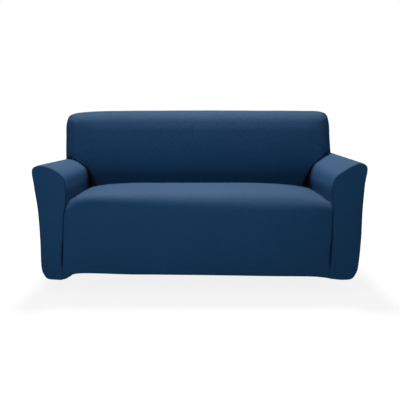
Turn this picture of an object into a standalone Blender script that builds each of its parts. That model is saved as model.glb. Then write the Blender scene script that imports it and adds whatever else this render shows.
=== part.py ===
"""A fitted stretch slipcover for a two-seat sofa with flared arms, in eight knitted panels.

Sizes are in metres. The panels are drawn as they sit on a sofa: the floor is at Z = 0, the
arm fronts are on the plane Y = 0, the back is towards +Y and the middle is at X = 0. The
empty cover_origin then lowers them all, so that the origin is under the top of the back,
where the sofa carries the cover. The sofa itself is left out, so the cover is hollow.
"""

from collections import namedtuple

import bmesh
import bpy
import numpy as np

# Cloth and seams
CLOTH = 0.002  # thickness of the knit
SEAM_GAP = 0.0005  # between two panels where they are sewn edge to edge
ROLL_SEAM_GAP = 0.0014  # the same, measured outside, where the seam runs along a rolled edge
CREVICE_GAP = 0.0012  # between two panels that are pushed down a crevice side by side
TINY = 1e-6  # points nearer than this are one point

# Main depths and heights
REAR_DEPTH = 0.790  # from the arm fronts to the back of the cover, at the floor
REAR_LEAN = 0.030  # how much further back the top of the back is
TOP_HEIGHT = 0.922
SEAT_LINE = 0.473  # where the seat meets the arms

# Where the sofa carries the cover: the underside of the top strip, behind its front edge
HELD_AT = (0.0, 0.750, TOP_HEIGHT - CLOTH)

# One row for each stretch of an arm's outline, from the crevice beside the seat, over the
# top and down to the hem: its distance from the middle, its height at the arm front, and
# how many facets run from it to the next row.
ArmRow = namedtuple("ArmRow", "stretch across height facets")
LEFT_ARM = (
    ArmRow("crevice", 0.644, 0.420, 1),
    ArmRow("seat line", 0.644, SEAT_LINE, 2),
    ArmRow("inner face", 0.6425, 0.547, 2),
    ArmRow("inner shoulder", 0.655, 0.600, 3),
    ArmRow("crown", 0.704, 0.638, 2),
    ArmRow("crest", 0.758, 0.652, 2),
    ArmRow("back foot", 0.783, 0.648, 2),
    ArmRow("shoulder", 0.802, 0.633, 2),
    ArmRow("flare", 0.797, 0.559, 2),
    ArmRow("waist", 0.783, 0.438, 2),
    ArmRow("side", 0.777, 0.291, 2),
    ArmRow("skirt", 0.776, 0.167, 1),
    ArmRow("hem turn", 0.773, 0.142, 1),
    ArmRow("hem", 0.761, 0.118, 0),
)
RIGHT_ARM = (
    ArmRow("crevice", 0.637, 0.420, 1),
    ArmRow("seat line", 0.637, SEAT_LINE, 2),
    ArmRow("inner face", 0.631, 0.547, 2),
    ArmRow("inner shoulder", 0.648, 0.597, 3),
    ArmRow("crown", 0.700, 0.637, 2),
    ArmRow("crest", 0.745, 0.661, 2),
    ArmRow("back foot", 0.764, 0.666, 2),
    ArmRow("shoulder", 0.799, 0.647, 2),
    ArmRow("flare", 0.792, 0.559, 2),
    ArmRow("waist", 0.785, 0.438, 2),
    ArmRow("side", 0.783, 0.291, 2),
    ArmRow("skirt", 0.775, 0.167, 1),
    ArmRow("hem turn", 0.770, 0.142, 1),
    ArmRow("hem", 0.757, 0.118, 0),
)
LEFT_RISE = -0.011  # how much higher an arm's top is at the rear than at the front
RIGHT_RISE = 0.011
RISE_FROM, RISE_TO = 0.559, 0.620  # the heights between which that rise comes in
WRAP_STEPS = (0, 0.04, 0.10, 0.17, 0.27, 0.40, 0.54, 0.68, 0.82, 0.93, 1)
WRAP_INNER_END = 0.690  # how far back the inner side of an arm runs, beside the backrest
CREVICE_FRONT = 0.458  # the crevice ends at this height at the arm front, and deepens behind it
CREVICE_STARTS, CREVICE_DEEP = 0.04, 0.12

# Outline of the backrest above the arms, seen from the front, from the left side up and over
# the top to the right side. Its feet stand on the arms. The left corner droops more.
OutlineRow = namedtuple("OutlineRow", "place x z facets")
BACK_OUTLINE = (
    OutlineRow("left side", -0.783, 0.760, 2),
    OutlineRow("left high", -0.783, 0.844, 2),
    OutlineRow("left corner", -0.768, 0.887, 2),
    OutlineRow("left shoulder", -0.741, 0.902, 2),
    OutlineRow("left top", -0.673, 0.913, 2),
    OutlineRow("left crown", -0.534, 0.919, 3),
    OutlineRow("middle", -0.116, TOP_HEIGHT, 3),
    OutlineRow("right crown", 0.302, TOP_HEIGHT, 3),
    OutlineRow("right top", 0.600, 0.920, 2),
    OutlineRow("right shoulder", 0.709, 0.915, 2),
    OutlineRow("right corner", 0.742, 0.899, 2),
    OutlineRow("right high", 0.757, 0.853, 2),
    OutlineRow("right side", 0.759, 0.760, 2),
)
FOOT_FACETS = 2  # from the left foot up to the left side
EDGE_ROLL = 0.045  # radius of the backrest's front edge
SEAM_INSET = 0.009  # how far inside the outline the seam of the top strip lies
# Lines of the top strip on the rolled edge: how far inside the outline each one lies
STRIP_INSETS = (SEAM_INSET - ROLL_SEAM_GAP / 2, 0.004, 0.001, 0.0)
STRIP_STEPS = 4  # facets along the flat of the top strip

# Depth of the front of the backrest at a height
FaceRow = namedtuple("FaceRow", "place height depth")
BACK_FACE = (
    FaceRow("crevice", 0.430, 0.5980),
    FaceRow("seat", 0.525, 0.5970),
    FaceRow("lumbar", 0.580, 0.5820),
    FaceRow("middle", 0.680, 0.600),
    FaceRow("top", 0.870, 0.660),
    FaceRow("edge", TOP_HEIGHT, 0.675),
)
FACE_FACETS = 8  # facets to a row when the table is read as a curve
BACK_FOOT_DEPTH = 0.610  # where the backrest's front comes down on the arms
BACK_BULGE = 0.012  # how far the middle of the backrest stands forward of its sides
BACK_HALF = 0.770  # half its width
POCKET_DEPTH = 0.050  # the cover dives into a dark pocket at each rear corner of the seat
POCKET_WIDTH = 0.060
POCKET_TOP = 0.610
BACK_BOTTOM = 0.436  # lower edge of the inside back, down the crevice behind the seat
ARM_TUCK = 0.040  # how far the inside back is pushed in beside and above an arm
FOOT_REACH = 0.080  # the tuck turns into the rolled edge within this of the backrest's foot
FOOT_LIFT_POWER = 4  # how late, coming along the arm, its edge is lifted to the foot
CORNER_SOFTENING = 10  # passes that turn the normals more slowly round a corner

# The three lines round the inside back's edge, from its face outwards. Beside an arm a line
# lies arm_inset from the arm and arm_back behind the face. Above the arms it lies
# roll_inset inside the outline, on the rolled edge. At the foot it is lifted off the arm.
RingRow = namedtuple("RingRow", "place arm_inset arm_back roll_inset lift")
BACK_RINGS = (
    RingRow("face", 0.014, 0.0, EDGE_ROLL, 0.044),
    RingRow("turn", 0.003, 0.004, 0.022, 0.014),
    RingRow("edge", 0.0, ARM_TUCK, SEAM_INSET + ROLL_SEAM_GAP / 2, 0.0),
)

# Seat and front drop
SEAT_CROWN_REAR = 0.036  # how much higher the middle of the seat is than its sides
SEAT_CROWN_MORE = 0.016  # and what is added halfway to the front
SEAT_FLATNESS, SEAT_SHOULDER = 4, 0.7  # how the crown falls off towards the arms
SEAT_ROLL = 0.080  # radius of the front edge at the sides
SEAT_ROLL_MORE = 0.010  # and what is added in the middle
FRONT_BULGE = 0.012  # how far the middle of the front drop stands out
SEAT_REAR_TURN = 0.018  # radius with which the seat turns down in front of the backrest
SEAT_REAR_BOTTOM = 0.446  # its lower edge there
SEAT_TUCK = 0.038  # how far the seat is pushed down beside an arm
SEAT_TUCK_LEAST = 0.003  # and behind, next to the backrest
TUCK_DEEPENS = 0.072  # over this distance the one becomes the other
DROP_TUCK = 0.030  # how far the front drop and the arm front turn in where they meet
HEM_TURN = 0.006  # how far the hem curls in
HEM_TURN_POWER = 8  # how late, going down the drop, it begins to curl
SEAT_ACROSS = (0, 0.22, 0.45, 0.66, 0.82, 0.90, 0.93, 0.955, 0.985, 1)  # from the middle to an arm
DECK_STEPS, ROLL_STEPS, DROP_STEPS = 8, 5, 6

# The line in which the front drop meets the two arm fronts and, above them, the two arm
# wraps: the distance from the middle at a height, and the gap between the two panels.
FrontRow = namedtuple("FrontRow", "height left right gap")
FRONT_LINE = (
    FrontRow(0.080, 0.6710, 0.6340, 0.0010),
    FrontRow(0.138, 0.6710, 0.6320, 0.0010),
    FrontRow(0.165, 0.6705, 0.6325, 0.0015),
    FrontRow(0.212, 0.6690, 0.6340, 0.0045),
    FrontRow(0.258, 0.6655, 0.6360, 0.0030),
    FrontRow(0.304, 0.6620, 0.6380, 0.0010),
    FrontRow(0.395, 0.6570, 0.6400, 0.0010),
    FrontRow(0.446, 0.6480, 0.6400, 0.0010),
    FrontRow(CREVICE_FRONT, 0.6440, 0.6370, 2 * CREVICE_GAP),
)

# Height of the hem along the front, with a lobe that hangs lower over each front leg
HemRow = namedtuple("HemRow", "place x z")
FRONT_HEM = (
    HemRow("left corner", -0.761, 0.118),
    HemRow("left lobe, outside", -0.748, 0.0985),
    HemRow("left lobe", -0.708, 0.0935),
    HemRow("left lobe, inside", -0.662, 0.0940),
    HemRow("left step", -0.636, 0.107),
    HemRow("left end", -0.616, 0.1190),
    HemRow("left", -0.331, 0.1180),
    HemRow("middle", 0.020, 0.1140),
    HemRow("right", 0.350, 0.1095),
    HemRow("right end", 0.570, 0.1060),
    HemRow("right lobe, inside", 0.650, 0.0965),
    HemRow("right lobe", 0.700, 0.0925),
    HemRow("right lobe, outside", 0.745, 0.0980),
    HemRow("right corner", 0.757, 0.118),
)
REAR_HEM = (
    HemRow("left corner", -0.761, 0.118),
    HemRow("left lobe, outside", -0.737, 0.098),
    HemRow("left lobe", -0.702, 0.094),
    HemRow("left lobe, inside", -0.655, 0.102),
    HemRow("left end", -0.600, 0.118),
    HemRow("middle", 0.0, 0.121),
    HemRow("right end", 0.600, 0.118),
    HemRow("right lobe, inside", 0.655, 0.102),
    HemRow("right lobe", 0.702, 0.094),
    HemRow("right lobe, outside", 0.735, 0.098),
    HemRow("right corner", 0.757, 0.118),
)
HEM_FACETS = 10  # facets to a span when a hem is read as a curve

# Arm fronts
ARM_FRONT_BULGE = 0.005  # how far the middle of an arm front stands out
ARM_FRONT_ROWS, ARM_FRONT_COLUMNS = 13, 6

KNIT_COLOUR = (0.0078, 0.0319, 0.0857, 1.0)  # navy
KNIT_ROUGHNESS = 0.85


# Curves

def spline(points, facets):
    """A smooth curve through the points, with facets[i] straight pieces in its span i."""
    points = np.asarray(points, float)
    chords = np.linalg.norm(np.diff(points, axis=0), axis=1)
    knots = np.concatenate([[0.0], np.cumsum(np.sqrt(chords))])
    slopes = np.gradient(points, knots, axis=0)
    line = []
    for i, count in enumerate(facets):
        span = knots[i + 1] - knots[i]
        for t in np.arange(count) / count:
            from_here = (1 + 2 * t) * (1 - t) ** 2 * points[i]
            leaving = t * (1 - t) ** 2 * span * slopes[i]
            to_next = t * t * (3 - 2 * t) * points[i + 1]
            arriving = t * t * (t - 1) * span * slopes[i + 1]
            line.append(from_here + leaving + to_next + arriving)
    line.append(points[-1])
    return np.array(line)


def spaced(line, count):
    """`count` points at even distances along a line."""
    run = np.concatenate([[0.0], np.cumsum(np.linalg.norm(np.diff(line, axis=0), axis=1))])
    marks = np.linspace(0.0, run[-1], count)
    return np.column_stack([np.interp(marks, run, line[:, i]) for i in range(line.shape[1])])


def smooth_step(low, high, value):
    t = np.clip((value - low) / (high - low), 0.0, 1.0)
    return t * t * (3 - 2 * t)


def station(rows, name):
    """How many facets lie before the named row of a table."""
    names = [row[0] for row in rows]
    return sum(row.facets for row in rows[: names.index(name)])


def coons(bottom, top, left, right):
    """A grid of points that fills the outline made by four lines of points."""
    us = np.linspace(0.0, 1.0, len(bottom))[None, :, None]
    vs = np.linspace(0.0, 1.0, len(left))[:, None, None]
    across = (1 - vs) * bottom[None] + vs * top[None]
    upward = (1 - us) * left[:, None] + us * right[:, None]
    lower = (1 - us) * bottom[0] + us * bottom[-1]
    upper = (1 - us) * top[0] + us * top[-1]
    return across + upward - ((1 - vs) * lower + vs * upper)


def with_depth(flat, depth):
    """Points (x, depth, z) from points (x, z)."""
    return np.stack([flat[..., 0], np.broadcast_to(depth, flat.shape[:-1]), flat[..., 1]], -1)


# The surfaces that the panels follow

def arm_rows(side):
    return LEFT_ARM if side < 0 else RIGHT_ARM


def arm_section(side, depth):
    """The outline of an arm at a depth, as (x, z), from the crevice over the top to the hem."""
    rows = arm_rows(side)
    line = spline([row[1:3] for row in rows], [row.facets for row in rows[:-1]])
    rise = (LEFT_RISE if side < 0 else RIGHT_RISE) * depth / REAR_DEPTH
    line[:, 1] += rise * smooth_step(RISE_FROM, RISE_TO, line[:, 1])
    deepening = smooth_step(CREVICE_STARTS, CREVICE_DEEP, depth)
    line[0, 1] += (CREVICE_FRONT - line[0, 1]) * (1 - deepening)
    line[:, 0] *= side
    return line


def arm_top(side, across, depth):
    """Height of an arm's top at a distance from the middle."""
    rows = arm_rows(side)
    section = arm_section(side, depth)
    top = section[station(rows, "inner shoulder") : station(rows, "shoulder") + 1]
    return float(np.interp(across, side * top[:, 0], top[:, 1]))


def rear_depth(height):
    return REAR_DEPTH + REAR_LEAN * height / TOP_HEIGHT


def seat_side(side):
    """The distance from the middle to the arm's inner face, at the seat."""
    return arm_rows(side)[0].across


BACK_FACE_CURVE = spline([row[1:] for row in BACK_FACE], [FACE_FACETS] * (len(BACK_FACE) - 1))


def back_face(x, z):
    """Depth of the front of the backrest, with its bulge and its two corner pockets."""
    x, z = np.broadcast_arrays(x, z)
    depth = np.interp(z, BACK_FACE_CURVE[:, 0], BACK_FACE_CURVE[:, 1])
    depth = depth - BACK_BULGE * (1 - np.clip(np.abs(x) / BACK_HALF, 0, 1) ** 2)
    arm = np.where(x < 0, seat_side(-1), seat_side(1))
    opening = np.clip((POCKET_TOP - z) / (POCKET_TOP - SEAT_LINE), 0.0, 1.0)
    near = 1 - (arm - np.abs(x)) / np.maximum(POCKET_WIDTH * opening, TINY)
    return depth + POCKET_DEPTH * opening * smooth_step(0.0, 1.0, near)


def backrest_outline():
    """The outline above the arms, with its two feet standing on them."""
    points = [row[1:3] for row in BACK_OUTLINE]
    facets = [FOOT_FACETS] + [row.facets for row in BACK_OUTLINE]
    feet = []
    for side in (-1, 1):
        foot = station(arm_rows(side), "back foot")
        feet.append(arm_section(side, BACK_FOOT_DEPTH)[foot] + (0, CREVICE_GAP))
    return spline([feet[0]] + points + [feet[1]], facets)


def outline_station(name):
    return FOOT_FACETS + station(BACK_OUTLINE, name)


def inward_normals(line, softening=0):
    """Unit normals to the right of a line that is walked from its first point.

    Softening turns them more slowly round a corner, so that lines drawn inside it part.
    """
    along = np.gradient(line, axis=0)
    normals = np.column_stack([along[:, 1], -along[:, 0]])
    normals /= np.linalg.norm(normals, axis=1, keepdims=True)
    for _ in range(softening):
        normals[1:-1] = (normals[:-2] + 2 * normals[1:-1] + normals[2:]) / 4
    return normals / np.linalg.norm(normals, axis=1, keepdims=True)


def roll_back(inset):
    """How far back the rolled edge is at a distance inside the outline."""
    reach = np.clip(EDGE_ROLL - inset, 0.0, EDGE_ROLL)
    return EDGE_ROLL - np.sqrt(EDGE_ROLL**2 - reach**2)


def hem_height(rows, x):
    line = spline([row[1:] for row in rows], [HEM_FACETS] * (len(rows) - 1))
    return np.interp(x, line[:, 0], line[:, 1])


def front_line(side, height):
    """Where the front drop meets an arm front: distance from the middle, and gap."""
    heights = [row.height for row in FRONT_LINE]
    across = [row.left if side < 0 else row.right for row in FRONT_LINE]
    gaps = [row.gap for row in FRONT_LINE]
    return np.interp(height, heights, across), np.interp(height, heights, gaps)


def seat_edge(side, height):
    """The distance from the middle to the edge of the seat or of the front drop."""
    across, gap = front_line(side, height)
    return across - gap / 2


# Panels

def knit_material(name):
    material = bpy.data.materials.new(name)
    material.use_nodes = True
    shader = material.node_tree.nodes["Principled BSDF"]
    shader.inputs["Base Color"].default_value = KNIT_COLOUR
    shader.inputs["Roughness"].default_value = KNIT_ROUGHNESS
    shader.inputs["Metallic"].default_value = 0.0
    return material


def panel(name, grids, facing, origin):
    """One piece of cloth from grids of points that share their edges.

    Its middle face looks towards `facing`, and the thickness goes the other way.
    """
    mesh = bpy.data.meshes.new(name)
    build = bmesh.new()
    for grid in grids:
        rows = [[build.verts.new(point) for point in row] for row in grid]
        for low, high in zip(rows, rows[1:]):
            for a, b, c, d in zip(low, low[1:], high[1:], high):
                build.faces.new((a, b, c, d))
    bmesh.ops.remove_doubles(build, verts=build.verts, dist=TINY)
    bmesh.ops.recalc_face_normals(build, faces=build.faces)
    build.faces.ensure_lookup_table()
    toward = sum(face.normal.dot(facing) * face.calc_area() for face in build.faces)
    if toward < 0:
        bmesh.ops.reverse_faces(build, faces=build.faces)
    build.to_mesh(mesh)
    build.free()
    mesh.shade_smooth()
    mesh.materials.append(knit_material(name + "_knit"))
    piece = bpy.data.objects.new(name, mesh)
    bpy.context.scene.collection.objects.link(piece)
    piece.parent = origin
    cloth = piece.modifiers.new("cloth", "SOLIDIFY")
    cloth.thickness = CLOTH
    cloth.offset = -1.0
    cloth.use_even_offset = True
    return piece


def arm_wrap(side):
    """Inner side, top and outer side of an arm, in one length of cloth."""
    foot = station(arm_rows(side), "back foot")
    steps = np.array(WRAP_STEPS)
    heights = arm_section(side, REAR_DEPTH)[:, 1]
    grid = []
    for row, height in enumerate(heights):
        end = rear_depth(height) - CLOTH - SEAM_GAP if row >= foot else WRAP_INNER_END
        start = CLOTH + SEAM_GAP
        line = []
        for depth in start + (end - start) * steps:
            x, z = arm_section(side, depth)[row]
            line.append((x, depth, z))
        grid.append(line)
    return [np.array(grid)]


def arm_front(side):
    """The flat facing of an arm, with its lower inner edge turned in beside the drop."""
    rows = arm_rows(side)
    section = arm_section(side, 0.0)
    shoulder = station(rows, "shoulder")
    inner_shoulder = station(rows, "inner shoulder")
    foot_across = front_line(side, FRONT_LINE[0].height)[0]
    foot_height = hem_height(FRONT_HEM, side * foot_across)
    inner = [(side * foot_across, foot_height)]
    for row in FRONT_LINE[1:-1]:
        across, gap = front_line(side, row.height)
        inner.append((side * (across + gap / 2), row.height))
    lower_inner = len(inner)
    inner = np.array(inner + list(section[1 : inner_shoulder + 1]))
    outer = spaced(section[shoulder:][::-1], ARM_FRONT_ROWS)
    top = spaced(section[inner_shoulder : shoulder + 1], ARM_FRONT_COLUMNS + 1)
    upper = spaced(inner[lower_inner - 1 :], ARM_FRONT_ROWS - lower_inner + 1)
    inner = np.vstack([inner[: lower_inner - 1], upper])
    hem_x = np.linspace(inner[0, 0], outer[0, 0], ARM_FRONT_COLUMNS + 1)
    hem = np.column_stack([hem_x, hem_height(FRONT_HEM, hem_x)])
    hem[-1] = outer[0]
    flat = coons(hem, top, inner, outer)
    us = np.sin(np.pi * np.linspace(0, 1, ARM_FRONT_COLUMNS + 1))[None, :]
    vs = np.sin(np.pi * np.linspace(0, 1, ARM_FRONT_ROWS))[:, None]
    face = with_depth(flat, -ARM_FRONT_BULGE * us * vs)
    edge = with_depth(inner[:lower_inner], 0.0)
    turned = with_depth(inner[:lower_inner], DROP_TUCK)
    return [face, np.stack([edge, turned])]


def inside_back():
    """Front of the backrest, rolled over its edge and pushed in round the arms."""
    outline = backrest_outline()
    corner_left = outline_station("left corner")
    corner_right = outline_station("right corner")
    inward = inward_normals(outline, CORNER_SOFTENING)
    feet = {-1: outline[0], 1: outline[-1]}
    sides = {}
    for side in (-1, 1):
        section = arm_section(side, BACK_FOOT_DEPTH)
        section = section[: station(arm_rows(side), "back foot")]
        section[0, 1] = BACK_BOTTOM
        away = inward_normals(section) * -side
        sides[side] = (section, away)
    rings = []
    for ring in BACK_RINGS:
        foot_height = np.where(outline[:, 0] < 0, feet[-1][1], feet[1][1])
        flat = outline + inward * ring.roll_inset
        flat[:, 1] += ring.lift * smooth_step(FOOT_REACH, 0.0, outline[:, 1] - foot_height)
        for side, end in ((-1, 0), (1, -1)):
            clear_of_arm(flat[end : end + 1 or None], side)
        back = np.full(len(flat), roll_back(ring.roll_inset))
        parts = [(flat, back)]
        for side in (-1, 1):
            section, away = sides[side]
            near = smooth_step(FOOT_REACH, 0.0, np.abs(feet[side][0] - section[:, 0]))
            edge = section + away * (CREVICE_GAP + ring.arm_inset * (1 - near))[:, None]
            edge[:, 0] -= side * ring.roll_inset * near
            edge[:, 1] += ring.lift * near**FOOT_LIFT_POWER
            clear_of_arm(edge[station(arm_rows(side), "crown") :], side)
            back = ring.arm_back + (roll_back(ring.roll_inset) - ring.arm_back) * near
            if side < 0:
                parts.insert(0, (edge, back))
            else:
                parts.append((edge[::-1], back[::-1]))
        flat = np.vstack([part[0] for part in parts])
        back = np.concatenate([part[1] for part in parts])
        rings.append(with_depth(flat, back_face(flat[:, 0], flat[:, 1]) + back))
    below = len(sides[-1][0])
    inner = rings[0][:, [0, 2]]
    left = inner[: below + corner_left + 1]
    top = inner[below + corner_left : below + corner_right + 1]
    right = inner[below + corner_right :][::-1]
    bottom = np.linspace(left[0], right[0], len(top))
    flat = coons(bottom, top, left, right)
    face = with_depth(flat, back_face(flat[..., 0], flat[..., 1]))
    return [face, np.stack(rings)]


def clear_of_arm(flat, side):
    """Lifts the points (x, z) that lie too near the top of an arm."""
    for point in flat:
        under = arm_top(side, abs(point[0]), BACK_FOOT_DEPTH)
        point[1] = max(point[1], under + CREVICE_GAP)


def back_strip():
    """The strip over the top and down both ends of the backrest."""
    outline = backrest_outline()
    inward = inward_normals(outline, CORNER_SOFTENING)
    lines = []
    for inset in STRIP_INSETS:
        flat = outline + inward * inset
        depth = back_face(flat[:, 0], flat[:, 1]) + roll_back(inset)
        lines.append(with_depth(flat, depth))
    front = lines[-1]
    rear = with_depth(outline, rear_depth(outline[:, 1]) - CLOTH - SEAM_GAP)
    for step in range(1, STRIP_STEPS + 1):
        lines.append(front + (rear - front) * step / STRIP_STEPS)
    grid = np.stack(lines)
    for side, end in ((-1, 0), (1, -1)):
        for point in grid[:, end]:
            under = max(
                arm_top(side, abs(point[0]), point[1]),
                arm_top(side, abs(point[0]) - CLOTH, point[1]),
            )
            point[2] = under + CREVICE_GAP
    return [grid]


def outside_back():
    """The back of the cover, from the top of the backrest down to the rear hem."""
    outline = backrest_outline()
    corner_left = outline_station("left corner")
    corner_right = outline_station("right corner")
    sides = {}
    for side in (-1, 1):
        section = arm_section(side, REAR_DEPTH)
        foot = station(arm_rows(side), "back foot")
        sides[side] = section[foot + 1 :][::-1]
    left = np.vstack([sides[-1], outline[: corner_left + 1]])
    right = np.vstack([sides[1], outline[corner_right:][::-1]])
    top = outline[corner_left : corner_right + 1]
    hem_x = np.linspace(left[0, 0], right[0, 0], len(top))
    hem = np.column_stack([hem_x, hem_height(REAR_HEM, hem_x)])
    hem[0] = left[0]
    hem[-1] = right[0]
    flat = coons(hem, top, left, right)
    return [with_depth(flat, rear_depth(flat[..., 1]))]


def seat_column(side, across, tucked):
    """A line of the seat and front drop, from behind the seat over its front edge to the hem.

    `across` runs from 0 in the middle to 1 at an arm. A tucked line is the edge of the cloth,
    pushed into the sofa from the line at the arm.
    """
    fullness = (1 - across**SEAT_FLATNESS) ** SEAT_SHOULDER
    rear = float(back_face(side * across * seat_edge(side, SEAT_LINE), SEAT_LINE)) - CREVICE_GAP
    deck_rear = rear - SEAT_REAR_TURN
    roll = SEAT_ROLL + SEAT_ROLL_MORE * fullness
    front = -FRONT_BULGE * fullness

    def deck_height(depth):
        swell = SEAT_CROWN_REAR + SEAT_CROWN_MORE * np.sin(np.pi * depth / rear)
        return SEAT_LINE + swell * fullness

    # Each point is (depth, height, the two parts of the direction into the sofa, push in)
    rear_top = deck_height(rear)
    slant = SEAT_REAR_TURN * (1 - np.sqrt(0.5))
    deck = [
        (rear, SEAT_REAR_BOTTOM, -1, 0, SEAT_TUCK_LEAST),
        (rear, rear_top - SEAT_REAR_TURN, -1, 0, SEAT_TUCK_LEAST),
        (rear - slant, rear_top - slant, -np.sqrt(0.5), -np.sqrt(0.5), SEAT_TUCK_LEAST),
    ]
    for depth in np.linspace(deck_rear, front + roll, DECK_STEPS + 1):
        deepening = smooth_step(deck_rear, deck_rear - TUCK_DEEPENS, depth)
        tuck = SEAT_TUCK_LEAST + (SEAT_TUCK - SEAT_TUCK_LEAST) * deepening
        deck.append((depth, deck_height(depth), 0, -1, tuck))

    drop = []
    drop_top = deck_height(front + roll) - roll
    for angle in np.radians(np.linspace(90, 0, ROLL_STEPS + 1)[1:]):
        along, up = np.cos(angle), np.sin(angle)
        drop.append((front + roll - roll * along, drop_top + roll * up, along, -up, SEAT_TUCK))
    hem = hem_height(FRONT_HEM, side * across * seat_edge(side, FRONT_LINE[0].height))
    for share in np.arange(1, DROP_STEPS + 1) / DROP_STEPS:
        depth = front * (1 - share**2) + HEM_TURN * share**HEM_TURN_POWER
        drop.append((depth, drop_top + (hem - drop_top) * share, 1, 0, DROP_TUCK))

    line = []
    for depth, height, into_depth, into_height, tuck in deck + drop:
        lowest = SEAT_LINE if len(line) < len(deck) else 0.0
        x = side * across * seat_edge(side, max(height, lowest))
        push = tuck if tucked else 0.0
        line.append((x, depth + push * into_depth, height + push * into_height))
    return line


def seat_and_front():
    """The seat, its rolled front edge and the front drop, in one length of cloth."""
    left = [seat_column(-1, across, False) for across in SEAT_ACROSS[::-1]]
    right = [seat_column(1, across, False) for across in SEAT_ACROSS[1:]]
    edges = [seat_column(side, SEAT_ACROSS[-1], True) for side in (-1, 1)]
    return [np.array([edges[0]] + left + right + [edges[1]])]


def main():
    for thing in list(bpy.data.objects):
        bpy.data.objects.remove(thing, do_unlink=True)
    origin = bpy.data.objects.new("cover_origin", None)
    origin.location = [-value for value in HELD_AT]
    bpy.context.scene.collection.objects.link(origin)
    panel("inside_back", inside_back(), (0, -1, 0), origin)
    panel("back_strip", back_strip(), (0, 0, 1), origin)
    panel("outside_back", outside_back(), (0, 1, 0), origin)
    panel("seat_and_front", seat_and_front(), (0, -1, 1), origin)
    for side, word in ((-1, "left"), (1, "right")):
        panel("arm_wrap_" + word, arm_wrap(side), (side * 0.3, 0, 1), origin)
        panel("arm_front_" + word, arm_front(side), (0, -1, 0), origin)


main()
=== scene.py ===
"""Looks of a navy stretch-knit cover for a two-seat sofa with flared arms.

Eight panels of cloth are drawn as they sit on a sofa, in metres: the floor is at Z = 0, the
arm fronts are on the plane Y = 0, the back is towards +Y and the middle is at X = 0. HELD_AT
moves them to the frame's own origin. A side is -1 for the left and 1 for the right.
"""

import math
from collections import namedtuple

import bmesh
import bpy
import numpy as np
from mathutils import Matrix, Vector


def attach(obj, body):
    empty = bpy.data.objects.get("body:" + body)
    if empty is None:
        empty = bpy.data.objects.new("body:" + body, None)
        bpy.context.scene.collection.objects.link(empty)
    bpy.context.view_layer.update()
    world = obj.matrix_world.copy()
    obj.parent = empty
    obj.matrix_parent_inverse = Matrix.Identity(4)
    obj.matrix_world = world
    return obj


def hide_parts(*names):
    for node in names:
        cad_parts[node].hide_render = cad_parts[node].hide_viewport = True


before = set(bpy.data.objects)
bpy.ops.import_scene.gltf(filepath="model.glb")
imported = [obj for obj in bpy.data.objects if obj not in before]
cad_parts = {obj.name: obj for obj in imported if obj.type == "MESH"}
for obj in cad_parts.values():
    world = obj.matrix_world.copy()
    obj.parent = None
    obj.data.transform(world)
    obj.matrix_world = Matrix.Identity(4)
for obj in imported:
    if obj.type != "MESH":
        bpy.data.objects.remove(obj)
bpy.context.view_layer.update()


def table(fields, *rows):
    """Rows of values, with names for what stands in each column."""
    row_type = namedtuple("Row", fields)
    return [row_type(*row) for row in rows]


# Cloth and seams
CLOTH = 0.0016  # thickness of the knit
STRETCHED_ON = 0.002  # thickness that the cover was cut for, between two layers
SEAM_GAP = 0.0005  # between two panels where they are sewn edge to edge
JOIN_GAP = 0.0004  # the same, measured outside, along a rolled edge
CREVICE_GAP = 0.0012  # between two panels that are pushed down a crevice side by side
TINY = 1e-6

# Main depths and heights
REAR_DEPTH = 0.790  # from the arm fronts to the back of the cover, at the floor
REAR_LEAN = 0.030  # how much further back the top of the back is
TOP_HEIGHT = 0.922
SEAT_LINE = 0.473  # where the seat meets the arms
HELD_AT = np.array((0.0, 0.750, TOP_HEIGHT - STRETCHED_ON))

# Spacing of the points
FINE = 8  # points on a curve for each step of the tables below
STEP = 0.0075  # between the lines of a panel's grid, away from its edges
ARM_STEP = STEP * 0.8
ROLL_STEP = STEP * 0.6
REAR_STEP = STEP * 1.2
DROP_POINTS, HEM_POINTS = 12 * FINE, 6 * FINE  # on the inner edge and the hem of an arm front

# An arm's outline at its front, from the crevice beside the seat over the top to the hem: its
# distance from the middle and its height on each side, and the steps to the next row.
ARM = table(
    "stretch left right steps",
    ("crevice", (0.644, 0.420), (0.637, 0.420), 1),
    ("seat line", (0.644, SEAT_LINE), (0.637, SEAT_LINE), 2),
    ("inner face", (0.6425, 0.547), (0.631, 0.547), 2),
    ("inner shoulder", (0.655, 0.600), (0.648, 0.597), 3),
    ("crown", (0.704, 0.638), (0.700, 0.637), 2),
    ("crest", (0.758, 0.652), (0.745, 0.661), 2),
    ("back foot", (0.783, 0.648), (0.764, 0.666), 2),
    ("shoulder", (0.802, 0.633), (0.799, 0.647), 2),
    ("flare", (0.797, 0.559), (0.792, 0.559), 2),
    ("waist", (0.783, 0.438), (0.785, 0.438), 2),
    ("side", (0.777, 0.291), (0.783, 0.291), 2),
    ("skirt", (0.776, 0.167), (0.775, 0.167), 1),
    ("hem turn", (0.773, 0.142), (0.770, 0.142), 1),
    ("hem", (0.761, 0.118), (0.757, 0.118), 0),
)
RISES = {-1: -0.011, 1: 0.011}  # how much higher an arm's top is at the rear than at the front
RISE_FROM, RISE_TO = 0.559, 0.620  # the heights between which that comes in
WRAP_INNER_END = 0.690  # how far back the inner side of an arm runs, beside the backrest
CREVICE_FRONT = 0.458  # height at which the crevice ends at the arm front
CREVICE_STARTS, CREVICE_DEEP = -0.008, 0.008  # the depths between which it goes down
DROOP_LENGTH = 0.110  # how far from each corner the side hem droops, to meet the lobes

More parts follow.
